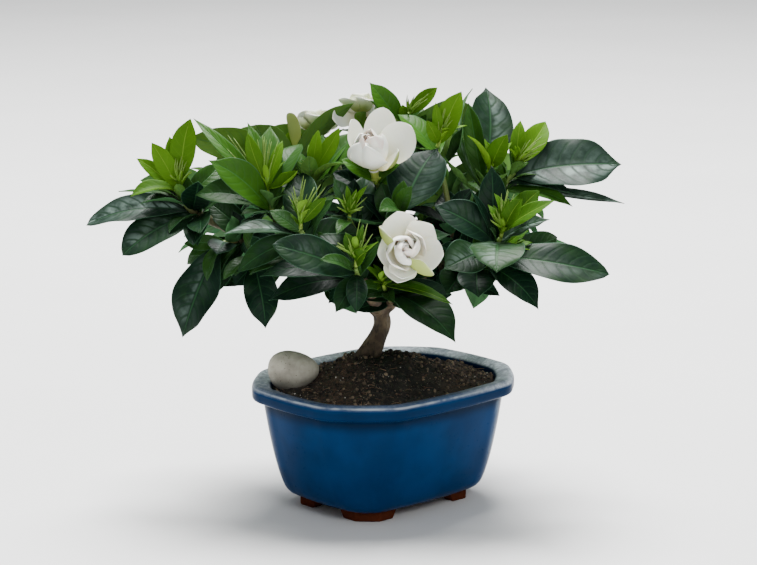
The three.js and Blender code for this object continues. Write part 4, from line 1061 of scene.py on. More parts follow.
LEAFY_STEMS: dict[str, StemPlan] = {
    "left_end": StemPlan(("left", 0.97), [(-182, 69, 26), (-190, 74, 29), (-198, 87, 30)], [
        Leaf(0.3, (-292, 57, 34), 38, SLANTED, wave=0.02, waves=3, silver=0.9, tone=0.0, oval=True),
        Leaf(0.1, (-256, 27, 60), 47, (-0.3, 0.5, 0.8), arch=0.08, fold=0.2, silver=0.3, tone=0.05,
             oval=True),
        Leaf(0.2, (-180, 101, 58), 33, (0, -0.3, 1), arch=-0.05, fold=0.5, tone=0.0, oval=True),
        Leaf(0.75, (-260, 91, 10), 15, TO_SKY, arch=0.05),
        Leaf(0.6, (-238, 79, 44), 22, TO_SKY, arch=0.08, fold=0.5),
        Leaf(0.7, (-158, 118, 8), 24, arch=0.12),
    ]),
    "left_hanging": StemPlan(("left", 0.7), [(-142, 42, 28), (-151, 41, 34), (-160, 37, 40)], [
        Leaf(0.9, (-196, -55, 40), 47, (-0.35, 0.2, 1), fold=0.25, wave=0.09, waves=1.7, silver=0.3,
             tone=0.0),
        Leaf(0.6, (-162, 28, 62), 30, SLANTED, arch=0.12, fold=0.2, silver=0.5, tone=0.0),
        Leaf(0.5, (-200, 30, 8), 17, TO_SKY, fold=0.5),
    ], whorls=1),
    "left": StemPlan(("left", 0.5), [(-92, 42, 44), (-104, 64, 56), (-110, 84, 60)], [
        Leaf(0.75, (-170, 122, 70), 36, (0.2, 0.45, 0.9), fold=0.25, tone=0.75),
        Leaf(0.7, (-108, 157, 34), 28, tone=0.7),
        Leaf(0.5, (-152, 84, 66), 17, TO_SKY, fold=0.45, tone=0.1, silver=0.4),
        Leaf(0.8, (-185, 164, 34), 17, (0.3, 0.3, 0.9), arch=0.12, tone=0.9),
        Leaf(0.85, (-131, 160, 44), 18, arch=0.05, tone=0.8),
        Leaf(0.3, (-141, 52, 88), 20, TO_SKY, arch=0.15, tone=0.1, silver=0.6),
    ], whorls=1),
    "upper_left": StemPlan(("left", 0.36), [(-52, 46, 14), (-62, 76, 26), (-68, 100, 30)], [
        Leaf(0.9, (-34, 119, 66), 20, (0.1, 0.9, 0.3), arch=0.12, fold=0.4, tone=0.9),
        Leaf(0.85, (-56, 148, 24), 26, arch=0.06, tone=0.7),
        Leaf(0.7, (-28, 143, 30), 26, TO_LEFT, tone=0.8),
        Leaf(0.8, (-92, 134, 30), 26, TO_RIGHT),
    ], whorls=1),
    "centre_left": StemPlan(("left", 0.28), [(-54, 14, 44), (-68, 36, 76), (-78, 52, 90)], [
        Leaf(0.85, (-155, 48, 104), 24, (0, 0.85, 0.5), wave=0.02, tone=0.1, silver=0.7),
        Leaf(0.35, (-129, 8, 98), 21, SLANTED, arch=0.12, tone=0.3),
        Leaf(0.7, (-44, 84, 96), 24, TO_LEFT),
    ], whorls=1),
    "left_low": StemPlan(("left", 0.42), [(-102, 20, 26), (-117, 22, 42), (-127, 26, 52)], [
        Leaf(0.9, (-113, -46, 66), 35, arch=0.08, wave=0.07, waves=3, tone=0.0),
        Leaf(0.6, (-144, -4, 50), 28, (-0.2, 0.3, 1), wave=0.04, waves=3, tone=0.0),
    ]),
    "centre_front": StemPlan(("front", 0.95), [(-17, 2, 72), (-20, 5, 92), (-23, 14, 106)], [
        Leaf(0.8, (-106, 38, 124), 40, (-0.1, 0.5, 0.9), arch=0.07, fold=0.2, tone=0.05, silver=0.2,
             oval=True),
        Leaf(0.65, (-43, -30, 122), 25, fold=0.35),
        Leaf(0.75, (-22, -31, 130), 22, fold=0.35),
        Leaf(0.35, (-119, 6, 96), 30, SLANTED, arch=0.14, fold=0.2, tone=0.0),
        Leaf(0.2, (-110, -18, 80), 40, SLANTED, arch=0.12, fold=0.2, wave=0.02, tone=0.0),
    ], whorls=1),
    "centre": StemPlan(("centre", 0.5), [(-8, 36, 22), (-22, 50, 56), (-29, 62, 76)], [
        Leaf(0.8, (-45, 105, 84), 24, (0.5, 0, 0.8), arch=0.08, fold=0.6, tone=0.2, silver=0.2),
        Leaf(0.75, (-24, 104, 68), 25, (-0.4, 0, 0.9), arch=0.08, fold=0.4),
        Leaf(0.5, (-8, 112, 40), 30, arch=0.08, wave=0.05, waves=3, tone=0.1, silver=0.3),
        Leaf(0.4, (-64, 70, 60), 24, TO_SKY),
    ]),
    "beside_trunk": StemPlan(("right", 0.1), [(12, -18, 10), (12, -12, 36), (6, -6, 58)], [
        Leaf(0.8, (77, -60, 100), 46, (0.3, 0.6, 0.75), fold=0.25, tone=0.1),
        Leaf(0.35, (62, -40, 52), 34, SLANTED),
    ], whorls=1),
    "lower_bloom": StemPlan(("centre", 0.3), [(8, 8, 30), (15, 18, 64), (24, 28, 92)], [
        Leaf(0.4, (72, 48, 96), 30, SLANTED, fold=0.25, tone=0.1, silver=0.3),
        Leaf(0.25, (58, 14, 84), 26, SLANTED, arch=0.14),
    ], bloom=BloomPlan(faces=(0.1, 0.2, 1), bud=(28, 12), petals=[
        Petal((19, 71, 108), 34, (0.25, -0.35, 1), arch=-0.18, cup=0.5, green=0.35),
        Petal((54, 57, 112), 36, (-0.35, -0.4, 0.9), arch=-0.2, cup=0.5),
        Petal((65, 28, 110), 36, (-0.5, 0.1, 1), arch=-0.18),
        Petal((55, 9, 120), 32, (-0.3, 0.85, -0.4), arch=-0.22, green=1.0),
        Petal((19, 0, 114), 32, (0.1, 0.7, 0.7), arch=-0.2, cup=0.5, green=0.3),
        Petal((-1, 29, 112), 30, (0.7, 0.1, 0.7), arch=-0.2, cup=0.5, green=0.8),
        Petal((1, 56, 116), 28, (0.9, -0.3, -0.2), arch=-0.2, cup=0.7, green=0.9),
        Petal((13, 19, 127), 34, (0.45, 0.5, 0.55), arch=-0.26, cup=0.6, blush=0.2),
        Petal((44, 44, 128), 32, (-0.5, -0.4, 0.6), arch=-0.26, cup=0.6, blush=0.3),
        Petal((24, 4, 121), 30, (0, 0.4, 1), arch=-0.16),
    ])),
    "centre_right": StemPlan(("centre", 0.7), [(10, 54, 28), (16, 62, 56), (22, 69, 78)], [
        Leaf(0.95, (59, 134, 40), 62, (-0.35, 0.35, 0.85), arch=0.04, fold=0.16, silver=0.15, tone=0.0),
        Leaf(0.6, (-31, 66, 92), 11, TO_SKY, arch=-0.1, fold=0.7),
        Leaf(0.4, (2, 100, 52), 26, tone=0.2),
    ]),
    "upper_bloom": StemPlan(("centre", 0.9), [(2, 84, 10), (0, 94, 28), (-3, 102, 44)], [
        Leaf(0.4, (-42, 128, 30), 24, SLANTED, arch=0.12, tone=0.8),
        Leaf(0.5, (46, 126, 28), 26, SLANTED, arch=0.12, tone=0.8),
    ], bloom=BloomPlan(faces=(-0.1, 0.75, 0.65), bud=(46, 13), petals=[
        Petal((-27, 163, 62), 28, (0.8, 0.1, 0.6), arch=-0.18, cup=0.5, green=0.15),
        Petal((5, 175, 44), 35, (0, -0.1, 1), arch=-0.14, cup=0.5),
        Petal((32, 157, 56), 42, (-0.35, 0, 1), arch=-0.12),
        Petal((-17, 140, 82), 42, (0.25, 0.9, -0.5), arch=-0.26, cup=0.6, green=0.2),
        Petal((20, 132, 76), 18, (-0.6, 0.6, 0.4), arch=-0.24, cup=0.6, green=0.9),
    ])),
    "top": StemPlan(("centre", 1), [(10, 100, -8), (18, 132, -14), (24, 160, -16)], [
        Leaf(0.9, (-9, 200, -4), 26, (0.4, 0.2, 0.9), arch=0.12, fold=0.2, tone=0.9),
        Leaf(0.8, (-8, 182, 4), 12, (0.2, 0.9, -0.2), arch=0.05, silver=1.0),
        Leaf(0.7, (44, 176, -38), 24, arch=0.08, tone=0.5),
    ], whorls=1),
    "top_right": StemPlan(("right", 0.72), [(74, 56, 14), (66, 98, 20), (58, 134, 20)], [
        Leaf(0.85, (19, 168, 36), 34, (0.35, 0.7, 0.6), tone=0.9),
        Leaf(0.75, (84, 155, 50), 22, (-0.3, 0.4, 0.8), arch=-0.2, fold=0.9, tone=0.3),
    ], whorls=1),
    "right_top": StemPlan(("right", 0.86), [(100, 66, 8), (106, 90, 12), (110, 108, 12)], [
        Leaf(0.85, (107, 195, -14), 48, (0.25, 0.1, 0.9), arch=0.07, fold=0.25, silver=0.4, tone=0.05),
        Leaf(0.7, (90, 180, 4), 24, (-0.3, 0.1, 0.9), arch=0.08, fold=0.5, tone=0.5),
        Leaf(0.5, (66, 126, 44), 16, TO_SKY, arch=-0.08, fold=0.5, wave=0.08),
        Leaf(0.6, (94, 194, -20), 14, TO_LEFT, arch=0.25, silver=1.0),
    ]),
    "right": StemPlan(("right", 1), [(118, 88, -4), (128, 100, 0), (136, 110, 2)], [
        Leaf(0.85, (243, 118, -6), 66, (-0.05, 0.6, 0.8), arch=0.08, fold=0.22, wave=0.015, waves=3,
             silver=0.8, tone=0.0),
        Leaf(0.5, (197, 88, 18), 18, SLANTED, arch=0.12, fold=0.5, wave=0.06, silver=0.3, tone=0.0),
        Leaf(0.3, (246, 79, 6), 16, SLANTED, arch=0.02, fold=0.4, silver=1.0, tone=0.0),
        Leaf(0.2, (194, 76, 26), 20, SLANTED, tone=0.6),
    ], whorls=1),
    "right_front": StemPlan(("right", 0.5), [(92, 20, 44), (112, 32, 72), (122, 44, 88)], [
        Leaf(0.85, (55, 77, 98), 38, (0.1, 0.5, 0.85), wave=0.02, tone=0.0, silver=0.1),
        Leaf(0.75, (113, 117, 70), 30, (-0.2, 0, 1), arch=0.05, fold=0.35, tone=0.0),
        Leaf(0.7, (92, 93, 92), 12, TO_RIGHT, arch=0.08, tone=0.0),
        Leaf(0.9, (118, 10, 138), 54, (0, 0.75, 0.65), arch=0.12, fold=0.15, wave=0.02, waves=3,
             tone=0.25, silver=0.5),
        Leaf(0.8, (171, 63, 104), 22, SLANTED, wave=0.07, waves=3, tone=0.1, silver=0.9),
        Leaf(0.55, (65, 13, 104), 42, (0.1, 0.6, 0.8), fold=0.2, tone=0.1, silver=0.3),
    ]),
    "right_low": StemPlan(("right", 0.42), [(78, 8, 30), (100, 14, 48), (118, 26, 58)], [
        Leaf(0.95, (231, 8, 74), 48, (0.05, 0.62, 0.78), arch=0.08, fold=0.15, wave=0.015, silver=0.12,
             tone=0.05, oval=True),
        Leaf(0.75, (160, -27, 84), 34, (0.3, 0.4, 0.85), tone=0.0),
        Leaf(0.5, (100, -15, 82), 40, SLANTED),
        Leaf(0.3, (68, -12, 70), 36, SLANTED, arch=0.12),
    ], whorls=1),
    "back_left_end": StemPlan(("left", 0.8), [(-146, 62, -8), (-158, 84, -36), (-164, 98, -52)], whorls=2),
    "back_left": StemPlan(("left", 0.45), [(-84, 36, -30), (-96, 56, -72), (-103, 69, -100)], whorls=2),
    "back_left_top": StemPlan(("left", 0.4), [(-66, 60, -22), (-84, 96, -44), (-92, 120, -52)], whorls=2),
    "back_bloom_left": StemPlan(
        ("centre", 0.8), [(-20, 96, -34), (-46, 122, -56), (-62, 138, -62)], whorls=1,
        bloom=BloomPlan(faces=(-0.1, 0.8, -0.25), size=58, turn=0.2, petals=[
            Petal((-89, 170, -34), 12, (0.5, -0.6, -1), arch=0.08, cup=0.3, green=1.0,
                  foot=(-83, 132, -44)),
            Petal((-79, 170, -42), 20, (0.1, -0.1, 1), cup=0.3),
        ]),
    ),
    "back_bloom_top": StemPlan(
        ("centre", 0.95), [(0, 110, -26), (-12, 136, -34), (-18, 156, -36)], whorls=1,
        bloom=BloomPlan(faces=(-0.05, 0.9, -0.2), size=54, turn=0.5, petals=[
            Petal((-46, 164, -16), 18, (0.4, 0.1, 1), green=0.8),
            Petal((-22, 184, -22), 26, (0.2, -0.1, 1), cup=0.3),
            Petal((-4, 178, -18), 20, (-0.4, 0.1, 1)),
        ]),
    ),
    "back_centre": StemPlan(("back", 0.95), [(-20, 50, -92), (-26, 74, -116), (-30, 94, -126)], whorls=2),
    "back_low": StemPlan(("back", 0.7), [(-22, 10, -80), (-36, 14, -106), (-44, 22, -124)], whorls=2),
    "back_right": StemPlan(("back", 0.9), [(24, 34, -90), (44, 50, -112), (56, 64, -126)], whorls=2),
    "back_right_top": StemPlan(("right", 0.8), [(76, 90, -30), (64, 122, -56), (60, 140, -64)], whorls=2),
    "back_right_low": StemPlan(("right", 0.45), [(76, 10, -30), (96, 20, -64), (108, 30, -86)], whorls=2),
    "back_right_end": StemPlan(("right", 0.95), [(124, 76, -34), (142, 84, -66), (152, 92, -84)], whorls=2),
}

YOUNG_SHOOTS: dict[str, ShootPlan] = {
    "left_end": ShootPlan((-200, 106, 32), [
        Leaf(0.3, (-227, 140, 40), 21, arch=0.05),
        Leaf(0.6, (-209, 146, 34), 18, arch=0.03),
        Leaf(0.8, (-188, 164, 32), 27, arch=0.04),
        Leaf(0.2, (-248, 86, 50), 22, (0, 0.8, 0.6), arch=0.12, fold=0.5),
        Leaf(0.1, (-242, 124, 22), 15, arch=0.08),
    ], spikes=[(-206, 149, 26), (-203, 124, 42), (-197, 126, 42), (-192, 121, 40)]),
    "left": ShootPlan((-112, 102, 62), [
        Leaf(0.4, (-131, 150, 66), 17, arch=0.05),
        Leaf(0.5, (-81, 112, 84), 22, (-0.4, 0.5, 0.7), arch=-0.15, fold=0.9),
        Leaf(0.7, (-96, 142, 56), 12),
    ], spikes=[(-121, 143, 62), (-114, 146, 60), (-107, 141, 62), (-145, 145, 52)]),
    "upper_left": ShootPlan((-66, 114, 32), [
        Leaf(0.5, (-60, 153, 40), 14),
        Leaf(0.5, (-39, 155, 36), 17, arch=0.06),
    ], spikes=[(-76, 122, 40), (-71, 126, 42)]),
    "centre_left": ShootPlan((-77, 66, 94), [
        Leaf(0.5, (-52, 85, 104), 13, arch=0.05),
    ], spikes=[(-85, 96, 96), (-73, 103, 98), (-58, 98, 98), (-80, 86, 102)]),
    "centre_front": ShootPlan((-22, 28, 110), [
        Leaf(0.4, (-12, 31, 126), 19, (-0.5, 0, 0.9), fold=0.5),
        Leaf(0.6, (-33, 50, 112), 13),
    ], spikes=[(-41, 40, 116), (-30, 44, 120), (-17, 42, 118), (-11, 59, 100)]),
    "centre": ShootPlan((-29, 72, 80), [
        Leaf(0.5, (-28, 87, 88), 10),
    ], spikes=[(-23, 89, 84), (-34, 84, 88), (-18, 85, 82)]),
    "top": ShootPlan((32, 172, -14), [
        Leaf(0.7, (59, 195, -10), 16, arch=0.05),
        Leaf(0.3, (24, 178, -6), 11),
    ], spikes=[(30, 184, -6), (36, 187, -6), (43, 184, -4)]),
    "top_right": ShootPlan((64, 148, 24), [
        Leaf(0.2, (83, 191, 30), 25, arch=0.08),
        Leaf(0.5, (57, 180, 36), 11),
        Leaf(0.3, (48, 162, 44), 14, arch=0.08),
    ], spikes=[(66, 174, 38), (72, 170, 40)]),
    "right_top": ShootPlan((112, 120, 16), [
        Leaf(0.3, (80, 138, 40), 15, SLANTED, arch=0.06),
        Leaf(0.5, (129, 148, 36), 21, arch=0.06),
    ], spikes=[(118, 142, 22), (108, 138, 26)]),
    "right": ShootPlan((138, 122, 6), [
        Leaf(0.4, (142, 162, 0), 16),
        Leaf(0.5, (167, 161, -8), 26, arch=0.08),
    ], spikes=[(163, 146, 14), (158, 140, 18), (152, 143, 12), (147, 136, 20)]),
    "right_front": ShootPlan((126, 60, 94), [
        Leaf(0.5, (144, 84, 106), 19, (-0.3, 0.1, 1), arch=0.08, fold=0.5),
        Leaf(0.6, (161, 92, 88), 24, arch=0.05, wave=0.07, waves=3),
        Leaf(0.3, (176, 82, 74), 20, SLANTED, arch=0.08),
    ], spikes=[(130, 91, 98), (124, 83, 102), (115, 69, 106)]),
    "right_low": ShootPlan((128, 34, 62), [
        Leaf(0.6, (150, 52, 74), 14, SLANTED),
    ]),
    "beside_trunk": ShootPlan((4, 0, 68), [
        Leaf(0.5, (74, -22, 92), 13, SLANTED, arch=0.08),
        Leaf(0.4, (62, -12, 78), 14, TO_SKY),
    ]),
    "back_left_top": ShootPlan((-94, 134, -56), whorls=1),
    "back_centre": ShootPlan((-32, 108, -130), whorls=1),
    "back_right_top": ShootPlan((60, 156, -66), whorls=1),
    "back_right_end": ShootPlan((158, 104, -90), whorls=1),
}

# How far a leaf of the frame may have been bent clear of another, as across, up and near
BENDS = [
    (0, 0, 0), (0, 0, 8), (0, 0, -8), (0, 0, 16), (0, 0, -16), (0, 0, 24), (0, 0, -24),
    (4, 3, 6), (-4, 3, -6), (4, -3, 12), (-4, -3, -12), (0, 0, 34), (0, 0, -34),
    (6, 6, 20), (-6, 6, -20), (6, -6, -20), (-6, -6, 20), (0, 8, 30), (0, -8, -30),
    (0, 0, 46), (0, 0, -46), (9, 9, 40), (-9, 9, -40), (9, -9, -40), (-9, -9, 40),
]
RULE_BEND = 1.6
BEND_NEAR = 0.01  # square millimetres
GAP = 0.3
STEM_RADIUS = (2.9, 2.2)
YOUNG_RADIUS = (2.0, 1.2)
CUP_HEIGHT = 4

# Length and width of the leaves of a whorl
FRONT_WHORL = (74, 32)
BACK_WHORL = (86, 40)
SHOOT_WHORL = (36, 17)


class Pattern:
    """Repeatable draws between 0 and 1, the same as the frame's."""

    FACTOR = 48271
    RANGE = 2147483647

    def __init__(self) -> None:
        """Starts at the frame's own start."""
        self.drawn = 20261

    def between(self, low: float, high: float) -> float:
        """The next draw, between two values."""
        self.drawn = (self.drawn * self.FACTOR) % self.RANGE
        return low + (high - low) * self.drawn / self.RANGE

    def whorls(self, stem: Sequence[Row], whorls: int, size: Pair) -> list[Leaf]:
        """Whorls of three leaves round a stem.

        Args:
            stem: The stem's path.
            whorls: How many whorls.
            size: The leaves' length and width.

        Returns:
            The leaves.
        """
        long, wide = size
        last = np.array(stem[-1], float)
        lean = unit(last - np.array(stem[0], float))
        leaves = []
        for whorl in range(whorls):
            for i in range(3):
                turn = 2 * math.pi * (i + whorl / 2 + self.between(-0.12, 0.12)) / 3
                reach = self.between(0.85, 1.15) * long
                open_out = self.between(0.2, 0.6)
                out = spoke(lean, turn, (0, 1, 0.3))
                tip = last + reach * (out + open_out * lean)
                tip[1] -= 0.12 * reach
                face = lean - 0.4 * out
                face[2] += 0.8 if last[2] > 0 else -0.8
                width = wide * self.between(0.85, 1.15)
                arch = self.between(0.06, 0.16)
                share = 0.9 - 0.28 * whorl
                leaves.append(Leaf(share, tuple(tip), width, tuple(face), arch=arch, rule=True))
        return leaves


@dataclass
class Foliage:
    """The crown's shape and the unit models of its leaves, and what stands in it already."""

    crown: Crown
    nodes: dict[str, Object]
    blade: Model = field(default_factory=lambda: slab_model(12, 22))
    small_blade: Model = field(default_factory=lambda: slab_model(8, 12))
    coarse: Model = field(default_factory=lambda: slab_model(4, 7))
    stalk: Model = field(default_factory=lambda: tube_model(8, 10))
    point: Model = field(default_factory=lambda: tube_model(6, 6))
    standing_blades: list[BVHTree] = field(default_factory=list)
    middle: Pair = (-20, 68)
    half: Pair = (226, 106)
    lowest: float = 160
    # heights over which leaves turn paler: partly young growth, partly painted light
    dark_below: float = 70
    paler_over: float = 70
    bloom_window: tuple[float, float, float] = (-60, 0, 160)
    slim: float = 0.5
    small_under: float = 22
    half_depth: float = 150
    shade_half_depth: float = 110

    def tree(self, shape: Blade) -> BVHTree:
        """The outer part of a blade, for finding what it would cross.

        Args:
            shape: The blade.

        Returns:
            Its faces as a search tree.
        """
        placed = shape.place(self.coarse)
        outer = self.coarse.points[:, 1] > 0.2
        faces = [face for face in self.coarse.faces if outer[face].all()]
        return BVHTree.FromPolygons(placed.tolist(), faces)

    def stand(self, shape: Blade) -> None:
        """Remembers a blade as standing."""
        self.standing_blades.append(self.tree(shape))

    def is_clear(self, shape: Blade) -> bool:
        """Whether a new blade crosses none that stands."""
        tree = self.tree(shape)
        return not any(tree.overlap(other) for other in self.standing_blades)

    def tone_and_shade_at(self, tip: Array, chance: random.Random) -> float:
        """How bright a green a leaf is: brighter high in the crown, partly young growth and partly painted
        light, and darker deep inside as painted shade.

        Args:
            tip: The leaf's tip.
            chance: Where the draws come from.

        Returns:
            Its tone.
        """
        _, up, _ = self.crown.frame()
        height = float((tip - self.crown.heart()) @ up)
        high = min(max((height - self.dark_below) / self.paler_over, 0.0), 1.0)
        # painted shade: tips deep inside the crown get a lower tone
        inside = min(max((0.72 - self.out_from_middle(tip, self.shade_half_depth)) / 0.4, 0.0), 1.0)
        bright = high * chance.uniform(0.5, 1.0) + chance.uniform(0.0, 0.2)
        return bright - inside * chance.uniform(0.7, 1.3)

    def out_from_middle(self, tip: Array, half_depth: float) -> float:
        """How far out a tip is: 0 at the crown's middle and 1 on its outline.

        Args:
            tip: The tip.
            half_depth: How deep half the crown is.

        Returns:
            The share.
        """
        away = tip - self.crown.heart()
        across, up, near = (float(away @ way) for way in self.crown.frame())
        x = (across - self.middle[0]) / self.half[0]
        y = (up - self.middle[1]) / self.half[1]
        return math.sqrt(x * x + y * y + (near / half_depth) ** 2)

    def before_blooms(self, row: Row) -> bool:
        """Whether a planned tip stands where it would hide the blooms behind the crown."""
        left, right, lowest = self.bloom_window
        return left < row[0] < right and row[1] > lowest

    def holds(self, tip: Array) -> bool:
        """Whether a tip is inside the crown's outline and not too low."""
        return self.out_from_middle(tip, self.half_depth) < 1 and tip[2] > self.lowest


@dataclass(frozen=True)
class Filling:
    """Leaves that are placed by a rule: how many, how long, how far open and of what tone."""

    leaves: int
    share: Pair
    reach: Pair
    open_out: Pair
    brighter: float = 0.0
    droop: float = 0.1
    slim: Pair = (0.38, 0.5)
    tries: int = 14


@dataclass
class Sprig:
    """A green stem with its leaves: what leafy stems and young shoots have in common."""

    NODE, LEAVES, SLOT, RADII = "leafy_stem", "leaves", "leaf", STEM_RADIUS

    name: str
    plan: Union[StemPlan, ShootPlan]
    foliage: Foliage
    curve: Curve

    def __post_init__(self) -> None:
        """Reads the sprig's node of the frame, starts the piece and lays the stem."""
        mesh = self.foliage.nodes[f"{self.NODE}_{self.name}"].data
        corners = np.zeros(len(mesh.vertices) * 3)
        mesh.vertices.foreach_get("co", corners)
        self.corners = corners.reshape(-1, 3) / MM
        self.gathering = Gathering()
        self.limb(self.curve, self.RADII, 1)

    def limb(self, curve: Curve, radii: Pair, finish: int) -> None:
        """Adds a round stem that goes evenly from one radius to another."""
        stalk = self.foliage.stalk
        self.gathering.add(stalk, curve.tube(stalk, taper(*radii)), finish, along=stalk.points[:, 2])

    def spike(self, root: Array, tip: Array, radius: float) -> None:
        """Adds a narrow point, a little bowed, in the third finish.

        Args:
            root: Where it starts.
            tip: Where it ends.
            radius: Its radius at the root.
        """
        model = self.foliage.point
        size = np.linalg.norm(tip - root)
        bow = unit(np.cross(tip - root, (0.3, 0.2, 1.0))) * size * 0.05
        curve = Curve([root, (root + tip) / 2 + bow, tip])
        points = curve.tube(model, lambda share, turn: radius * (1.02 - share) ** 0.75 + 0.08)
        self.gathering.add(model, points, 2, along=model.points[:, 2])

    def beside(self, share: float, tip: Array) -> Array:
        """A root a little off the stem's axis, on the side that faces a tip.

        Args:
            share: How far along the stem it is.
            tip: The tip.

        Returns:
            The root.
        """
        thick, slim = self.RADII
        axis, ahead = self.curve.at(share), self.curve.heading(share)
        out = tip - axis
        out = unit(out - ahead * np.dot(out, ahead))
        return axis + out * 0.45 * (thick + (slim - thick) * share)

    def bent_tip(self, leaf: Leaf) -> Optional[Array]:
        """Finds where the frame put a leaf's tip.

        Args:
            leaf: The leaf as planned.

        Returns:
            The tip, or None for a leaf of a whorl that the frame left out.
        """
        scale = RULE_BEND if leaf.rule else 1.0
        for bend in BENDS:
            tip = self.foliage.crown.point([a + b * scale for a, b in zip(leaf.tip, bend)])
            if np.min(np.sum((self.corners - tip) ** 2, axis=1)) < BEND_NEAR:
                return tip
        return None if leaf.rule else self.foliage.crown.point(leaf.tip)

    def add_blade(self, shape: Blade, tone: float, silver: float) -> None:
        """Adds a shaped leaf that stands from now on.

        Args:
            shape: The leaf.
            tone: How bright its green is.
            silver: How much painted sheen it has.
        """
        self.foliage.stand(shape)
        wide = shape.width > self.foliage.small_under
        model = self.foliage.blade if wide else self.foliage.small_blade
        s, t, surface = model.points.T
        self.gathering.add(model, shape.place(model), 0, across=s, along=t, under=(1 - surface) / 2,
                           tone=tone, silver=silver)

    def add_leaf(self, leaf: Leaf, outline: Outline) -> None:
        """Adds one planned leaf, unless the frame left it out.

        Args:
            leaf: Its plan.
            outline: The outline of its blade.
        """
        tip = self.bent_tip(leaf)
        if tip is None:
            return
        crown = self.foliage.crown
        chance = random.Random(round(leaf.tip[0] * 31 + leaf.tip[1] * 17 + leaf.tip[2]))
        base = self.beside(leaf.share, crown.point(leaf.tip))
        narrowed = leaf.rule and self.foliage.before_blooms(leaf.tip)
        shape = Blade(
            base, tip, crown.direction(leaf.face), leaf.width * (self.foliage.slim if narrowed else 1.0),
            leaf.arch, leaf.fold, leaf.wave, leaf.waves, outline=Outline.OVAL if leaf.oval else outline,
            seed=chance.uniform(0, 6), sway=chance.uniform(-0.05, 0.05),
        )
        tone = leaf.tone if leaf.tone >= 0 else self.foliage.tone_and_shade_at(tip, chance)
        self.add_blade(shape, tone, leaf.silver + chance.uniform(0.0, 0.1))

    def add_filling(self, curve: Curve, radius: float, chance: random.Random, plan: Filling) -> None:
        """Adds leaves by a rule where there is room for them.

        Args:
            curve: Their stem.
            radius: The stem's radius.
            chance: Where the draws come from.
            plan: How many they are and of what kind.
        """
        near = self.foliage.crown.frame()[2]
        for _ in range(plan.leaves):
            for _ in range(plan.tries):
                share = chance.uniform(*plan.share)
                axis, ahead = curve.at(share), curve.heading(share)
                out = spoke(ahead, chance.uniform(0, 2 * math.pi), (-0.2, -0.1, -1.0))
                reach = chance.uniform(*plan.reach)
                way = unit(out + ahead * chance.uniform(*plan.open_out))
                tip = axis + way * reach - np.array([0, 0, plan.droop * reach])
                if not self.foliage.holds(tip):
                    continue
                face = unit(ahead * 0.6 - out * 0.3 + np.array([0, 0, 0.6]) + near * 0.3)
                shape = Blade(
                    axis + out * 0.45 * radius, tip, face, reach * chance.uniform(*plan.slim),
                    arch=chance.uniform(0.05, 0.16), fold=chance.uniform(0.15, 0.45),
                    wave=chance.uniform(0, 0.04), outline=Outline.SMALL, seed=chance.uniform(0, 6),
                    sway=chance.uniform(-0.1, 0.1),
                )
                if self.foliage.is_clear(shape):
                    tone = self.foliage.tone_and_shade_at(tip, chance) + plan.brighter
                    self.add_blade(shape, tone, chance.uniform(0, 0.15))
                    break

    def finish(self, finishes: Sequence[Material]) -> None:
        """Makes the piece with its finishes: leaf, stem, and calyx or bud point."""
        piece = self.gathering.piece(f"{self.name}_{self.LEAVES}", finishes)
        stand_for(piece, f"{self.NODE}_{self.name}", self.SLOT)


class LeafyStem(Sprig):
    """A green stem with its dark leaves, and the calyx of its bloom."""

    INNER = Filling(10, (0.25, 1.0), (38, 66), (0.1, 1.0))
    OUTER = Filling(5, (0.5, 1.0), (26, 50), (0.5, 1.6), 0.25)
    TWIG_RADIUS = 3
    CUP_RADII = (2.2, 4.2)
    LOBES = 5

    def lay(self, whorls: Sequence[Leaf]) -> None:
        """Lays the planned leaves and the calyx.

        Args:
            whorls: The leaves of its whorls.
        """
        for leaf in [*self.plan.leaves, *whorls]:
            self.add_leaf(leaf, Outline.SMALL if leaf.rule else Outline.LEAF)
        if self.plan.bloom:
            self.add_calyx()

    def add_calyx(self) -> None:
        """Adds the green cup under the bloom, with five narrow lobes."""
        axis = self.foliage.crown.direction(self.plan.bloom.faces)
        end = self.curve.at(1) + axis * CUP_HEIGHT
        self.limb(Curve([end - axis * 2 * CUP_HEIGHT, end]), self.CUP_RADII, 2)
        for i in range(self.LOBES):
            out = spoke(axis, 2 * math.pi * i / self.LOBES)
            self.spike(end - axis * 3 + out * 2.6, end + axis + out * 8, 1.4)

    def fill(self, twig: Curve) -> None:
        """Fills the crown about the stem and its twig with smaller leaves."""
        chance = random.Random(f"fill {self.name}")
        self.add_filling(twig, self.TWIG_RADIUS, chance, self.INNER)
        self.add_filling(self.curve, self.RADII[1], chance, self.OUTER)


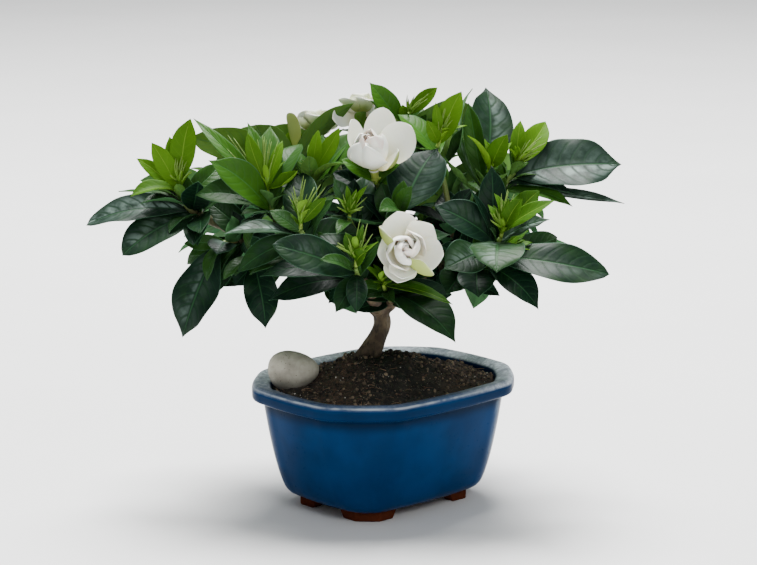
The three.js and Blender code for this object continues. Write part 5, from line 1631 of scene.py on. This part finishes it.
class YoungShoot(Sprig):
    """A bright green shoot tip, with its young leaves and narrow bud points."""

    NODE, LEAVES, SLOT, RADII = "young_shoot", "young_leaves", "young_leaf", YOUNG_RADIUS
    UPRIGHT = Filling(14, (0.1, 1.0), (16, 36), (1.0, 4.0), droop=0.0, slim=(0.2, 0.34))
    BUD_RADIUS = 1.8
    SISTERS = 3
    SISTER_RADIUS = 1.4
    SCATTER = 8

    def lay(self, whorls: Sequence[Leaf]) -> None:
        """Lays the bud points, each with three shorter ones, and the planned leaves.

        Args:
            whorls: The leaves of its whorls.
        """
        chance = random.Random(f"points {self.name}")
        for i, row in enumerate(self.plan.spikes):
            self.add_point(row, 0.97 - 0.13 * (i % 6), self.BUD_RADIUS)
            for k in range(self.SISTERS):
                sister = [value + chance.uniform(-self.SCATTER, self.SCATTER) for value in row]
                sister[1] -= 3 + 3 * k
                sister[2] += 4 * k
                self.add_point(sister, 0.9 - 0.13 * (i % 6), self.SISTER_RADIUS)
        for leaf in [*self.plan.leaves, *whorls]:
            self.add_leaf(leaf, Outline.SMALL)

    def add_point(self, row: Row, share: float, radius: float) -> None:
        """Adds a bud point with its tip at a place of the crown."""
        tip = self.foliage.crown.point(row)
        self.spike(self.beside(share, tip), tip, radius)

    def fill(self) -> None:
        """Adds more young leaves, most of them nearly upright."""
        self.add_filling(self.curve, self.RADII[1], random.Random(f"young {self.name}"), self.UPRIGHT)


# A petal's shape, and how green and how pink it is
Tinted = tuple[Blade, float, float]


@dataclass
class Bloom:
    """White petals in layers on a short tube."""

    name: str
    plan: BloomPlan
    root: Array
    crown: Crown
    petal: Model
    tube: Model
    foot: float = 2.3
    tall: float = 9
    tube_radii: Pair = (3.2, 5.4)
    thick: float = 0.9
    lapped: int = 8
    ball: float = 1.3
    lap: float = 0.55

    def __post_init__(self) -> None:
        """Works out where the bloom looks and where its heart is."""
        self.axis = self.crown.direction(self.plan.faces)
        self.heart = self.root + self.axis * self.tall

    def ring_petals(self) -> list[Tinted]:
        """An outer ring of petals spread wide, and an inner ring half up.

        Returns:
            Each petal's shape, and how green and pink it is.
        """
        axis, petals = self.axis, []
        for layer, (count, lift, reach, width, arch, cup, roll) in enumerate(
            [(5, 0.35, 0.52, 0.56, -0.08, 0.35, 0.3), (4, 1.0, 0.42, 0.42, -0.14, 0.5, 0.35)]
        ):
            for i in range(count):
                turn = self.plan.turn + layer * 0.5 + 2 * math.pi * i / count
                out = spoke(axis, turn)
                rise = lift + 0.12 * math.sin(3 * turn + layer)
                tip = self.heart + (out * math.cos(rise) + axis * math.sin(rise)) * self.plan.size * reach
                face = axis * math.cos(rise) - out * math.sin(rise)
                size = self.plan.size * width
                shape = Blade(np.zeros(3), tip, face, size, arch=arch, roll=roll, cup=cup)
                petals.append((shape, 0.5, 0.0))
        return petals

    def placed_petals(self) -> list[Tinted]:
        """The petals that are placed one by one.

        Returns:
            Each petal's shape, and how green and pink it is.
        """
        petals = []
        for petal in self.plan.petals:
            tip, face = self.crown.point(petal.tip), self.crown.direction(petal.face)
            base = self.crown.point(petal.foot) if petal.foot else np.zeros(3)
            width = petal.width * (0.92 + 0.3 * min(petal.green, 1.0))
            shape = Blade(base, tip, face, width, arch=petal.arch, cup=petal.cup * 0.7)
            petals.append((shape, petal.green, petal.blush))
        return petals

    def lapped_petals(self) -> list[Tinted]:
        """The closed heart: petals that wrap round the axis, each lapping over the next.

        Returns:
            Each petal's shape, and how green and pink it is.
        """
        height, radius = self.plan.bud
        axis, petals = self.axis, []
        for i in range(self.lapped):
            layer = min(i // 3, 2)
            out = spoke(axis, 2 * math.pi * (i / 3 + layer * 0.17) + 0.5)
            bulge = self.ball * radius * (1.0, 0.72, 0.4)[layer]
            reach = bulge * (0.75, 0.6, 0.35)[layer]
            tip = self.heart + axis * height * (0.86, 0.98, 0.94)[layer] + out * reach
            face = np.cross(axis, out) * math.sin(self.lap) - out * math.cos(self.lap)
            arch = -(bulge - reach / 2) / height
            shape = Blade(np.zeros(3), tip, face, bulge * (2.15, 2.2, 2.3)[layer], arch=arch, cup=0.75)
            petals.append((shape, 0.05, (0.0, 0.45, 0.8)[layer]))
        return petals

    def build(self, finish: Material) -> list[Blade]:
        """Builds the bloom and dresses it.

        Args:
            finish: The petals' finish.

        Returns:
            The petals' shapes.
        """
        axis, heart = self.axis, self.heart
        gathering = Gathering()
        s, t, surface = self.petal.points.T
        petals = self.placed_petals() + (self.ring_petals() if self.plan.size else self.lapped_petals())
        for i, (shape, green, blush) in enumerate(petals):
            if not shape.base.any():
                shape.base = heart + unit(shape.tip - heart) * self.foot
            shape.fold, shape.outline, shape.seed, shape.thick = 0.0, Outline.PETAL, 1.7 * i, self.thick
            gathering.add(self.petal, shape.place(self.petal), 0, across=s, along=t,
                          under=(1 - surface) / 2, tone=green, silver=blush)
        tube = Curve([self.root, heart, heart + axis * 4])
        gathering.add(self.tube, tube.tube(self.tube, taper(*self.tube_radii)), tone=1.0, under=1.0)
        if not self.plan.size:
            height, radius = self.plan.bud
            core = Curve([heart, heart + axis * height * 0.8])
            gathering.add(self.tube, core.tube(self.tube, taper(radius * 0.4, radius * 0.2)), along=1.0)
        stand_for(gathering.piece(f"{self.name}_petals", [finish]), self.name, "petal")
        return [shape for shape, _, _ in petals]


# The pot and what stands in it


@dataclass
class Pot:
    """The glazed pot: a rectangle with cut corners, soft creases and slightly bowed sides."""

    middle: Array
    front: Array
    height: float = 128
    top: tuple[float, float, float] = (121, 95.5, 48)
    base: tuple[float, float, float] = (82, 63, 17)
    foot_height: float = 10
    foot_leg: float = 37
    foot_thick: float = 13
    foot_inset: float = 5
    foot_splay: Pair = (-2, 5)
    foot_sunk: float = 2.2
    rim_height: float = 15
    wall: float = 9
    crease: float = 16
    bowl: float = 0.5
    bow: float = 0.022
    drain: float = 9
    drain_spacing: float = 70
    front_reach: float = 105
    right: Row = (0.73, -0.68, 0)
    right_highlight_reach: float = 128
    lip_from: float = 124
    lip_out: float = 9.0
    lip_fade: float = 1.1
    per_crease: int = 10
    per_side: int = 14

    def level(self, z: float, grow: float) -> tuple[Array, Array]:
        """The body's outline at a level, grown outwards.

        Args:
            z: The level.
            grow: How far it is grown.

        Returns:
            Its points about the pot's middle, and how near each is to a crease.
        """
        climb = min(max((z - self.foot_height) / (self.height - self.rim_height - self.foot_height), 0), 1)
        spread = climb**self.bowl
        length, width, corner = (b + (t - b) * spread for b, t in zip(self.base, self.top))
        length, width, corner = length + grow, width + grow, corner + grow * 0.6
        first = [(length, width - corner), (length - corner, width)]
        last = first[::-1]
        quarters = ((first, 1, 1), (last, -1, 1), (first, -1, -1), (last, 1, -1))
        corners = [np.array([x * sx, y * sy], float) for ends, sx, sy in quarters for x, y in ends]
        u, v = (np.arange(count)[:, None] / count for count in (self.per_crease, self.per_side))
        points, creases = [], []
        for i, here in enumerate(corners):
            before, after = corners[i - 1], corners[(i + 1) % len(corners)]
            start, end = self.soften(here, before), self.soften(here, after)
            side, beyond = after - here, self.soften(after, here)
            out = np.array([side[1], -side[0]]) * self.bow
            points.append(start * (1 - u) ** 2 + 2 * here * u * (1 - u) + end * u * u)
            creases.append(1 - abs(2 * u - 1) * 0.5)
            points.append(end + (beyond - end) * v + out * 4 * v * (1 - v))
            creases.append(0.5 * np.maximum(0.0, 1 - 6 * np.minimum(v, 1 - v)))
        flat = np.vstack(points)
        return np.column_stack([flat, np.full(len(flat), z)]), np.vstack(creases)[:, 0]

    def soften(self, corner: Array, neighbour: Array) -> Array:
        """Where a corner's crease starts on the side towards its neighbour."""
        side = neighbour - corner
        return corner + side * min(self.crease / np.linalg.norm(side), 0.35)

    def profile(self) -> list[Pair]:
        """The pot's section, from the base up, over the rim and down the inside.

        Returns:
            Levels, each with how far out of the body's outline it is.
        """
        rim = [(104, 0), (112.5, 0), (113.2, 7.5), (115.5, 10.6), (120, 10.9), (125, 10.6), (129.5, 6.5),
               (128.2, 1.5), (127, -6), (122, -9), (112, -9)]
        for _ in range(3):
            softer = [rim[0]]
            for (z0, g0), (z1, g1) in zip(rim, rim[1:]):
                softer.append((0.75 * z0 + 0.25 * z1, 0.75 * g0 + 0.25 * g1))
                softer.append((0.25 * z0 + 0.75 * z1, 0.25 * g0 + 0.75 * g1))
            rim = [*softer, rim[-1]]
        foot = self.foot_height
        base = [(foot, -7.5), (foot + 0.5, -4.8), (foot + 1.8, -2.8), (foot + 4, -1.3), (foot + 7, -0.4)]
        body = [(foot + 10 + 83 * (i / 19) ** 1.3, 0.0) for i in range(20)]
        inside = [(z, -9.0) for z in (100, 80, 60, 44, 30, 22)] + [(20, -11.0)]
        return [*base, *body, *rim, *inside]

    def build(self, finish: Material) -> None:
        """Builds the pot with its feet and drains, and glazes it.

        Args:
            finish: The glaze.
        """
        rings = []
        for z, grow in self.profile():
            ring, near = self.level(z, grow)
            # lip: the rim's outer top edge, where the glaze paints a pale line of wear and highlight
            lip = max(0.0, 1 - abs(grow - self.lip_out) / self.lip_fade) if z > self.lip_from else 0.0
            rings.append(np.column_stack([ring, near, np.full(len(near), lip)]))
        model = tube_model(len(rings[0]), len(rings) - 1)
        placed = lay_rings(model, np.array(rings))
        points = np.ascontiguousarray(placed[:, :3])
        # front: the glaze's wear and painted highlight on the rim's top fade towards the front
        front = np.clip(points @ self.front / self.front_reach, 0, 1)
        # right: the right corner, painted as tone, where the glaze paints its crease highlight
        right = np.clip(points @ np.array(self.right) / self.right_highlight_reach, 0, 1) ** 6
        gathering = Gathering()
        gathering.add(model, points + self.middle, across=placed[:, 3], along=1 - 0.85 * front,
                      tone=right, silver=placed[:, 4])
        piece = gathering.piece("glazed_pot", [finish])
        self.drill(piece)
        self.add_feet(piece, finish)
        stand_for(piece, "pot", "glaze")

    def drill(self, piece: Object) -> None:
        """Cuts the two drains through the floor.

        Args:
            piece: The pot.
        """
        for side in (-1, 1):
            put_down()
            x, y = self.middle[0] + side * self.drain_spacing / 2, self.middle[1]
            bpy.ops.mesh.primitive_cylinder_add(
                vertices=48, radius=self.drain * MM, depth=60 * MM, location=(x * MM, y * MM, 0)
            )
            drill = bpy.context.object
            apply(piece, "BOOLEAN", operation="DIFFERENCE", object=drill, solver="EXACT")
            bpy.data.objects.remove(drill)

    def foot_shape(self, leg: float) -> list[Pair]:
        """The L of one foot.

        Args:
            leg: The length of its legs.

        Returns:
            Its corners about the pot's middle.
        """
        length, width, corner = self.base
        x, y, thick = length - self.foot_inset, width - self.foot_inset, self.foot_thick
        cut = corner * 0.4
        return [
            (x - leg, y), (x - leg, y - thick), (x - thick - cut, y - thick), (x - thick, y - thick - cut),
            (x - thick, y - leg), (x, y - leg), (x, y - corner), (x - corner, y),
        ]

    def add_feet(self, piece: Object, finish: Material) -> None:
        """Adds four corner feet of bare clay, each an L with softened edges.

        Args:
            piece: The pot, which they are joined to.
            finish: The glaze, which is clay so low down.
        """
        shape, splayed = (self.foot_shape(self.foot_leg + longer) for longer in self.foot_splay)
        feet = []
        for turn_x, turn_y in ((1, 1), (-1, 1), (-1, -1), (1, -1)):
            put_down()
            bpy.ops.mesh.primitive_circle_add(vertices=len(shape), radius=0.01, fill_type="NGON")
            foot = bpy.context.object
            for vertex, (px, py) in zip(foot.data.vertices, shape):
                vertex.co = Vector((px * turn_x + self.middle[0], py * turn_y + self.middle[1], 0)) * MM
            extrude([(self.foot_height + self.foot_sunk) * MM])
            for vertex in [v for v in foot.data.vertices if v.co.z > 0]:
                x, y = (np.array(vertex.co)[:2] / MM - self.middle[:2]) * (turn_x, turn_y)
                nearest = min(range(len(shape)), key=lambda k: math.hypot(shape[k][0] - x, shape[k][1] - y))
                px, py = splayed[nearest]
                vertex.co.x = (px * turn_x + self.middle[0]) * MM
                vertex.co.y = (py * turn_y + self.middle[1]) * MM
            apply(foot, "BEVEL", width=1.2 * MM, segments=2)
            foot.data.materials.append(finish)
            feet.append(foot)
        put_down()
        for foot in feet:
            foot.select_set(True)
        piece.select_set(True)
        bpy.context.view_layer.objects.active = piece
        bpy.ops.object.join()
        bpy.ops.object.shade_smooth_by_angle(angle=math.radians(50))


@dataclass
class Soil:
    """The soil: mounded round the trunk, crumbly, with perlite, mulch fibres and moss."""

    pot: Pot
    foot: Array
    across: Array
    edge: float = 121
    mound: float = 26
    levels: tuple[float, ...] = (20.3, 44, 80, 118)
    rings: int = 56
    crumbs: int = 1500
    perlite: int = 90
    fibres: int = 130
    fibre_radii: Pair = (0.35, 0.15)
    mulch_middle: float = -38
    mulch_half: float = 34
    moss_reach: float = 30

    def surface(self, ring: Array, inward: Array) -> Array:
        """Points of the soil's top.

        Args:
            ring: Points of its outer edge.
            inward: How far in from there to the trunk each point is.

        Returns:
            The points, in millimetres.
        """
        x = ring[:, 0] + (self.foot[0] - ring[:, 0]) * inward
        y = ring[:, 1] + (self.foot[1] - ring[:, 1]) * inward
        px, py = x - self.pot.middle[0], y - self.pot.middle[1]
        lumps = np.sin(px * 0.19 + 1) * np.cos(py * 0.23) + np.sin(px * 0.07 - py * 0.11)
        z = self.edge + self.mound * np.sin(inward * math.pi / 2) ** 1.4 + lumps * 1.3
        rough = [noise.fractal(Vector((a, b, 0.3)) * 0.11, 0.9, 2.1, 6) for a, b in zip(px, py)]
        return np.column_stack([x, y, z + np.array(rough) * 2.0])

    def paints(self, points: Array) -> tuple[Array, Array]:
        """What is painted on the soil.

        Args:
            points: Points of its top.

        Returns:
            How much mulch and how much moss there is at each.
        """
        away = points - self.foot
        aside = away @ self.across
        reach = np.linalg.norm(away[:, :2], axis=1)
        mulch = np.clip(1 - np.abs(aside - self.mulch_middle) / self.mulch_half, 0, 1)
        mulch += np.clip((aside - 55) / 50, 0, 0.5)
        moss = np.clip(1.25 - reach / self.moss_reach, 0, 1)
        return np.clip(mulch, 0, 1), moss

    def build(self, finishes: Sequence[Material]) -> None:
        """Builds the soil and what lies on it.

        Args:
            finishes: Soil, crumb, perlite and fibre.
        """
        wall = -self.pot.wall - GAP
        rings = [self.pot.level(z, wall)[0] + self.pot.middle for z in self.levels]
        edge = rings[-1]
        inwards = np.linspace(0.0, 0.985, self.rings) ** 0.9
        inwards[0] = 0.015
        rings += [self.surface(edge, np.full(len(edge), inward)) for inward in inwards]
        model = tube_model(len(edge), len(rings) - 1)
        points = lay_rings(model, np.array(rings))
        mulch, moss = self.paints(points)
        gathering = Gathering()
        gathering.add(model, points, tone=mulch, silver=moss)
        self.strew(gathering, edge)
        stand_for(gathering.piece("potting_soil", finishes), "soil", "soil")

    def strew(self, gathering: Gathering, edge: Array) -> None:
        """Strews crumbs, perlite and fibres over the top.

        Args:
            gathering: Where they go.
            edge: The outer edge of the soil's top.
        """
        chance = np.random.default_rng(7)
        put_down()
        bpy.ops.mesh.primitive_ico_sphere_add(subdivisions=1, radius=1)
        lump = take_model()
        count = self.crumbs + self.perlite
        ring = edge[chance.integers(0, len(edge), count)]
        inward = 1 - np.sqrt(chance.uniform(0.004, 0.97, count))
        places = self.surface(ring, inward)
        for i, place in enumerate(places):
            white = i >= self.crumbs
            size = chance.uniform(0.4, 0.9) if white else chance.uniform(0.5, 1.0) ** 2 * 2.1
            shape = lump.points * chance.uniform(0.6, 1.3, 3)
            shape = shape * chance.uniform(0.85, 1.15, (len(lump.points), 1))
            spun = shape @ np.array(Matrix.Rotation(chance.uniform(0, 6), 3, "Z"))
            placed = place + spun * size + (0, 0, size * 0.25)
            gathering.add(lump, placed, 2 if white else 1, tone=chance.uniform(0, 1))
        strand = tube_model(4, 4)
        ring = edge[chance.integers(0, len(edge), self.fibres)]
        starts = self.surface(ring, 1 - np.sqrt(chance.uniform(0.02, 0.9, self.fibres)))
        for start in starts:
            turn, size = chance.uniform(0, 2 * math.pi), chance.uniform(4, 13)
            way = np.array([math.cos(turn), math.sin(turn), chance.uniform(-0.05, 0.25)])
            bend = np.array([-way[1], way[0], 0.2]) * chance.uniform(-0.25, 0.25)
            middle = start + (way * 0.5 + bend) * size + (0, 0, 1.2)
            curve = Curve([start + (0, 0, 0.6), middle, start + way * size])
            points = curve.tube(strand, taper(*self.fibre_radii))
            gathering.add(strand, points, 3, tone=chance.uniform(0, 1))


@dataclass
class Pebble:
    """A rounded stone, taller at its left end, with small pits."""

    centre: Array
    across: Array
    half: tuple[float, float, float] = (25.5, 22, 20)
    lean: float = -0.24

    def build(self, finish: Material) -> None:
        """Shapes the stone from a ball and dresses it.

        Args:
            finish: The stone's finish.
        """
        put_down()
        bpy.ops.mesh.primitive_uv_sphere_add(segments=64, ring_count=40, radius=1)
        ball = take_model()
        x, y, z = ball.points.T
        away = np.array([-self.across[1], self.across[0], 0])
        half, deep, tall = self.half
        out = 1 + 0.012 * np.array([noise.fractal(Vector(p) * 2.2, 1.0, 2.0, 4) for p in ball.points])
        points = self.centre + np.outer(half * x * (1 + 0.08 * z) * out, self.across)
        points += np.outer(deep * y * out, away)
        points[:, 2] += tall * z * (1 + self.lean * x) * out
        gathering = Gathering()
        gathering.add(ball, points)
        stand_for(gathering.piece("beige_pebble", [finish]), "pebble", "pebble")


@dataclass
class Trunk:
    """The wood: a flared trunk with a buttress root, boughs and twigs, grown into one."""

    crown: Crown
    stems: Sequence[LeafyStem]
    bough_radius: Pair = (7.6, 4.4)
    twig_radius: Pair = (5.0, 3.4)
    root_radius: Pair = (7.5, 5.0)
    twig_bend: float = 0.35
    voxel: float = 1.5

    def __post_init__(self) -> None:
        """Lays the paths of the boughs and twigs."""
        point = self.crown.point
        self.boughs = {name: Curve([point(row) for row in path]) for name, path in BOUGHS.items()}
        self.twigs = {stem.name: self.twig(stem) for stem in self.stems}

    def twig(self, stem: LeafyStem) -> Curve:
        """The path from a bough to a leafy stem.

        Args:
            stem: The leafy stem.

        Returns:
            The path, up to a gap before the stem's start.
        """
        bough, share = stem.plan.off
        fork = self.boughs[bough].at(share)
        start, ahead = stem.curve.at(0), stem.curve.heading(0)
        bend = start - ahead * self.twig_bend * np.linalg.norm(start - fork)
        return Curve([fork, bend, start - ahead * GAP])

    def curves(self) -> list[tuple[Curve, Radius]]:
        """Every limb's path with its radius.

        Returns:
            The limbs, with the flared and fluted trunk first.
        """
        trunk, root = (Curve([self.crown.point(row) for row in path]) for path in (TRUNK_PATH, ROOT_PATH))
        limbs = [
            (trunk, lambda k, turn: 8.4 + 5.5 * (1 - k) ** 2.2 + 0.7 * np.sin(3 * turn + 5 * k)),
            (root, taper(*self.root_radius)),
        ]
        limbs += [(bough, taper(*self.bough_radius)) for bough in self.boughs.values()]
        limbs += [(twig, taper(*self.twig_radius)) for twig in self.twigs.values()]
        return limbs

    def build(self, finish: Material) -> None:
        """Lays the limbs, grows them into one and furrows the bark.

        Args:
            finish: The bark.
        """
        round_limb = tube_model(16, 24)
        gathering = Gathering()
        for curve, radius in self.curves():
            gathering.add(round_limb, curve.tube(round_limb, radius))
        wood = gathering.piece("wood", [finish])
        apply(wood, "REMESH", mode="VOXEL", voxel_size=self.voxel * MM, use_smooth_shade=True)
        apply(wood, "SMOOTH", factor=0.5, iterations=3)
        count = len(wood.data.vertices)
        places, ways = np.zeros(count * 3), np.zeros(count * 3)
        wood.data.vertices.foreach_get("co", places)
        wood.data.vertices.foreach_get("normal", ways)
        places = places.reshape(-1, 3)
        relief = [self.relief(Vector(place / MM)) for place in places]
        moved = places + ways.reshape(-1, 3) * np.array(relief)[:, None] * MM
        wood.data.vertices.foreach_set("co", moved.ravel())
        wood.data.update()
        stand_for(wood, "trunk", "bark")

    def relief(self, place: Vector) -> float:
        """How far the bark stands out there, in millimetres: long furrows and knots."""
        furrow = noise.fractal(Vector((place.x * 0.2, place.y * 0.2, place.z * 0.05)), 0.8, 2.1, 5)
        return 0.55 * furrow + 0.7 * noise.noise(place * 0.055)


# The studio


@dataclass
class Studio:
    """A plain pale floor, soft light all round and the camera at the photograph's angle."""

    crown: Crown
    distance: float = 2500
    image_width: int = 757
    aim: Row = (0, 0, 0.2)
    sky: str = "f4f7fa"
    ground: Sequence[str] = ("e9e9e8", "f1f1f0")

    def camera(self) -> None:
        """Places the camera, which looks at the crown's heart."""
        across, up, near = (Vector(v) for v in self.crown.frame())
        lens = bpy.data.cameras.new("camera")
        lens.lens = self.distance / self.image_width * lens.sensor_width
        camera = bpy.data.objects.new("camera", lens)
        bpy.context.scene.collection.objects.link(camera)
        turned = Matrix((across, up, near)).transposed().to_4x4()
        turned.translation = (Vector(self.crown.heart()) + near * self.distance) * MM
        camera.matrix_world = turned
        bpy.context.scene.camera = camera

    def light(self, name: str, place: Row, size: float, power: float, tint: Row) -> None:
        """Adds a round soft box that looks at the plant.

        Args:
            name: The light's name.
            place: How far it is across, near and up, in metres.
            size: Its width, in metres.
            power: Its power, in watts.
            tint: Its colour.
        """
        lamp = bpy.data.lights.new(name, "AREA")
        lamp.shape, lamp.size, lamp.energy, lamp.color = "DISK", size, power, tint
        box = bpy.data.objects.new(name, lamp)
        across, _, near = (Vector(v) for v in self.crown.frame())
        level = Vector((near.x, near.y, 0)).normalized()
        box.location = across * place[0] + level * place[1] + Vector((0, 0, place[2]))
        box.rotation_mode = "QUATERNION"
        box.rotation_quaternion = (Vector(self.aim) - box.location).to_track_quat("-Z", "Y")
        bpy.context.scene.collection.objects.link(box)

    def world(self, strength: float) -> None:
        """A pale sky all round.

        Args:
            strength: How bright it is.
        """
        world = bpy.data.worlds.new("sky")
        world.use_nodes = True
        sky = world.node_tree.nodes["Background"]
        sky.inputs[0].default_value = paint(self.sky)
        sky.inputs[1].default_value = strength
        bpy.context.scene.world = world

    def floor(self) -> None:
        """A wide pale floor under the feet."""
        put_down()
        bpy.ops.mesh.primitive_circle_add(vertices=96, radius=14, fill_type="NGON", location=(0, 0, 0))
        floor = bpy.context.object
        floor.name = "floor"
        board = Board("pale_floor")
        tone = board.cloud(board.place(), 400, 3)
        low, high = self.ground
        colour = board.coats(low, (tone, high))
        floor.data.materials.append(board.finish(Base_Color=colour, Roughness=0.6 + tone * 0.1))


def main() -> None:
    """Builds each part of the plant in order, and reports it."""
    logging.basicConfig(level=logging.INFO, format="%(name)s: %(message)s")
    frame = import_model()
    low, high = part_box("pot")
    middle = np.array([(low.x + high.x) / 2, (low.y + high.y) / 2, 0]) / MM
    crown = Crown(middle)
    across, _, _ = crown.frame()

    leaf = LeafFinish(
        "leaf", "071d11", "335c10", "3c6a42", "9bb3a8", "33523f", "3a6440", "587c2c"
    ).material()
    young_leaf = LeafFinish(
        "young_leaf", "24480a", "4d760e", "769834", "a9c078", "4b7019", "5f8428", "6f9a24",
        pairs=6.5, gloss=0.42, quilting=0.3, midrib=0.6, glow=0.1,
    ).material()
    stem = StemFinish("green_stem", "5f5a33", "5c7a2c").material()
    calyx = StemFinish("calyx", "6f8f2f", "93a843").material()
    young_stem = StemFinish("young_stem", "7d9a35", "93ad3f").material()
    bud_point = StemFinish("bud_point", "5d8c1a", "64812c").material()
    petal = PetalFinish().material()

    foliage = Foliage(crown, frame["nodes"])
    pattern = Pattern()
    stems, shoots = {}, {}
    for name, plan in LEAFY_STEMS.items():
        stems[name] = LeafyStem(name, plan, foliage, Curve([crown.point(row) for row in plan.stem]))
        size = FRONT_WHORL if plan.stem[-1][2] > 0 else BACK_WHORL
        stems[name].lay(pattern.whorls(plan.stem, plan.whorls, size))
    for name, plan in YOUNG_SHOOTS.items():
        curve = stems[name].curve.beyond(crown.point(plan.to), YOUNG_RADIUS[0])
        shoots[name] = YoungShoot(name, plan, foliage, curve)
        ends = [LEAFY_STEMS[name].stem[-1], plan.to]
        shoots[name].lay(pattern.whorls(ends, plan.whorls, SHOOT_WHORL))
    petal_model, tube = slab_model(16, 20), tube_model(16, 8)
    for name, grown in stems.items():
        if grown.plan.bloom:
            axis = crown.direction(grown.plan.bloom.faces)
            root = grown.curve.at(1) + axis * (CUP_HEIGHT + GAP)
            node = f"bloom_{name.replace('_bloom', '')}"
            bloom = Bloom(node, grown.plan.bloom, root, crown, petal_model, tube)
            for shape in bloom.build(petal):
                foliage.stand(shape)
    trunk = Trunk(crown, list(stems.values()))
    for shoot in shoots.values():
        shoot.fill()
        shoot.finish([young_leaf, young_stem, bud_point])
    for name, grown in stems.items():
        grown.fill(trunk.twigs[name])
        grown.finish([leaf, stem, calyx])

    pot = Pot(middle, crown.frame()[2])
    pot.build(Glaze().material())
    grits = [
        Grit("soil_crumb", "8a7862", "0d0a07").material(),
        Grit("perlite", "efece4", "b9b2a4").material(),
        Grit("fibre", "a3866a", "5b4030").material(),
    ]
    Soil(pot, crown.point((-6, -72, -31)), across).build([Earth().material(), *grits])
    Pebble(crown.point((-85, -88.5, 8)), across).build(Stone().material())
    trunk.build(Bark().material())

    studio = Studio(crown)
    studio.camera()
    studio.world(0.42)
    studio.light("overhead", (0.0, -1.4, 4.8), 2.8, 950, (1, 1, 1))
    studio.light("front", (1.6, 3.4, 2.4), 1.6, 60, (0.97, 0.99, 1))
    studio.floor()


if __name__ == "__main__":
    main()
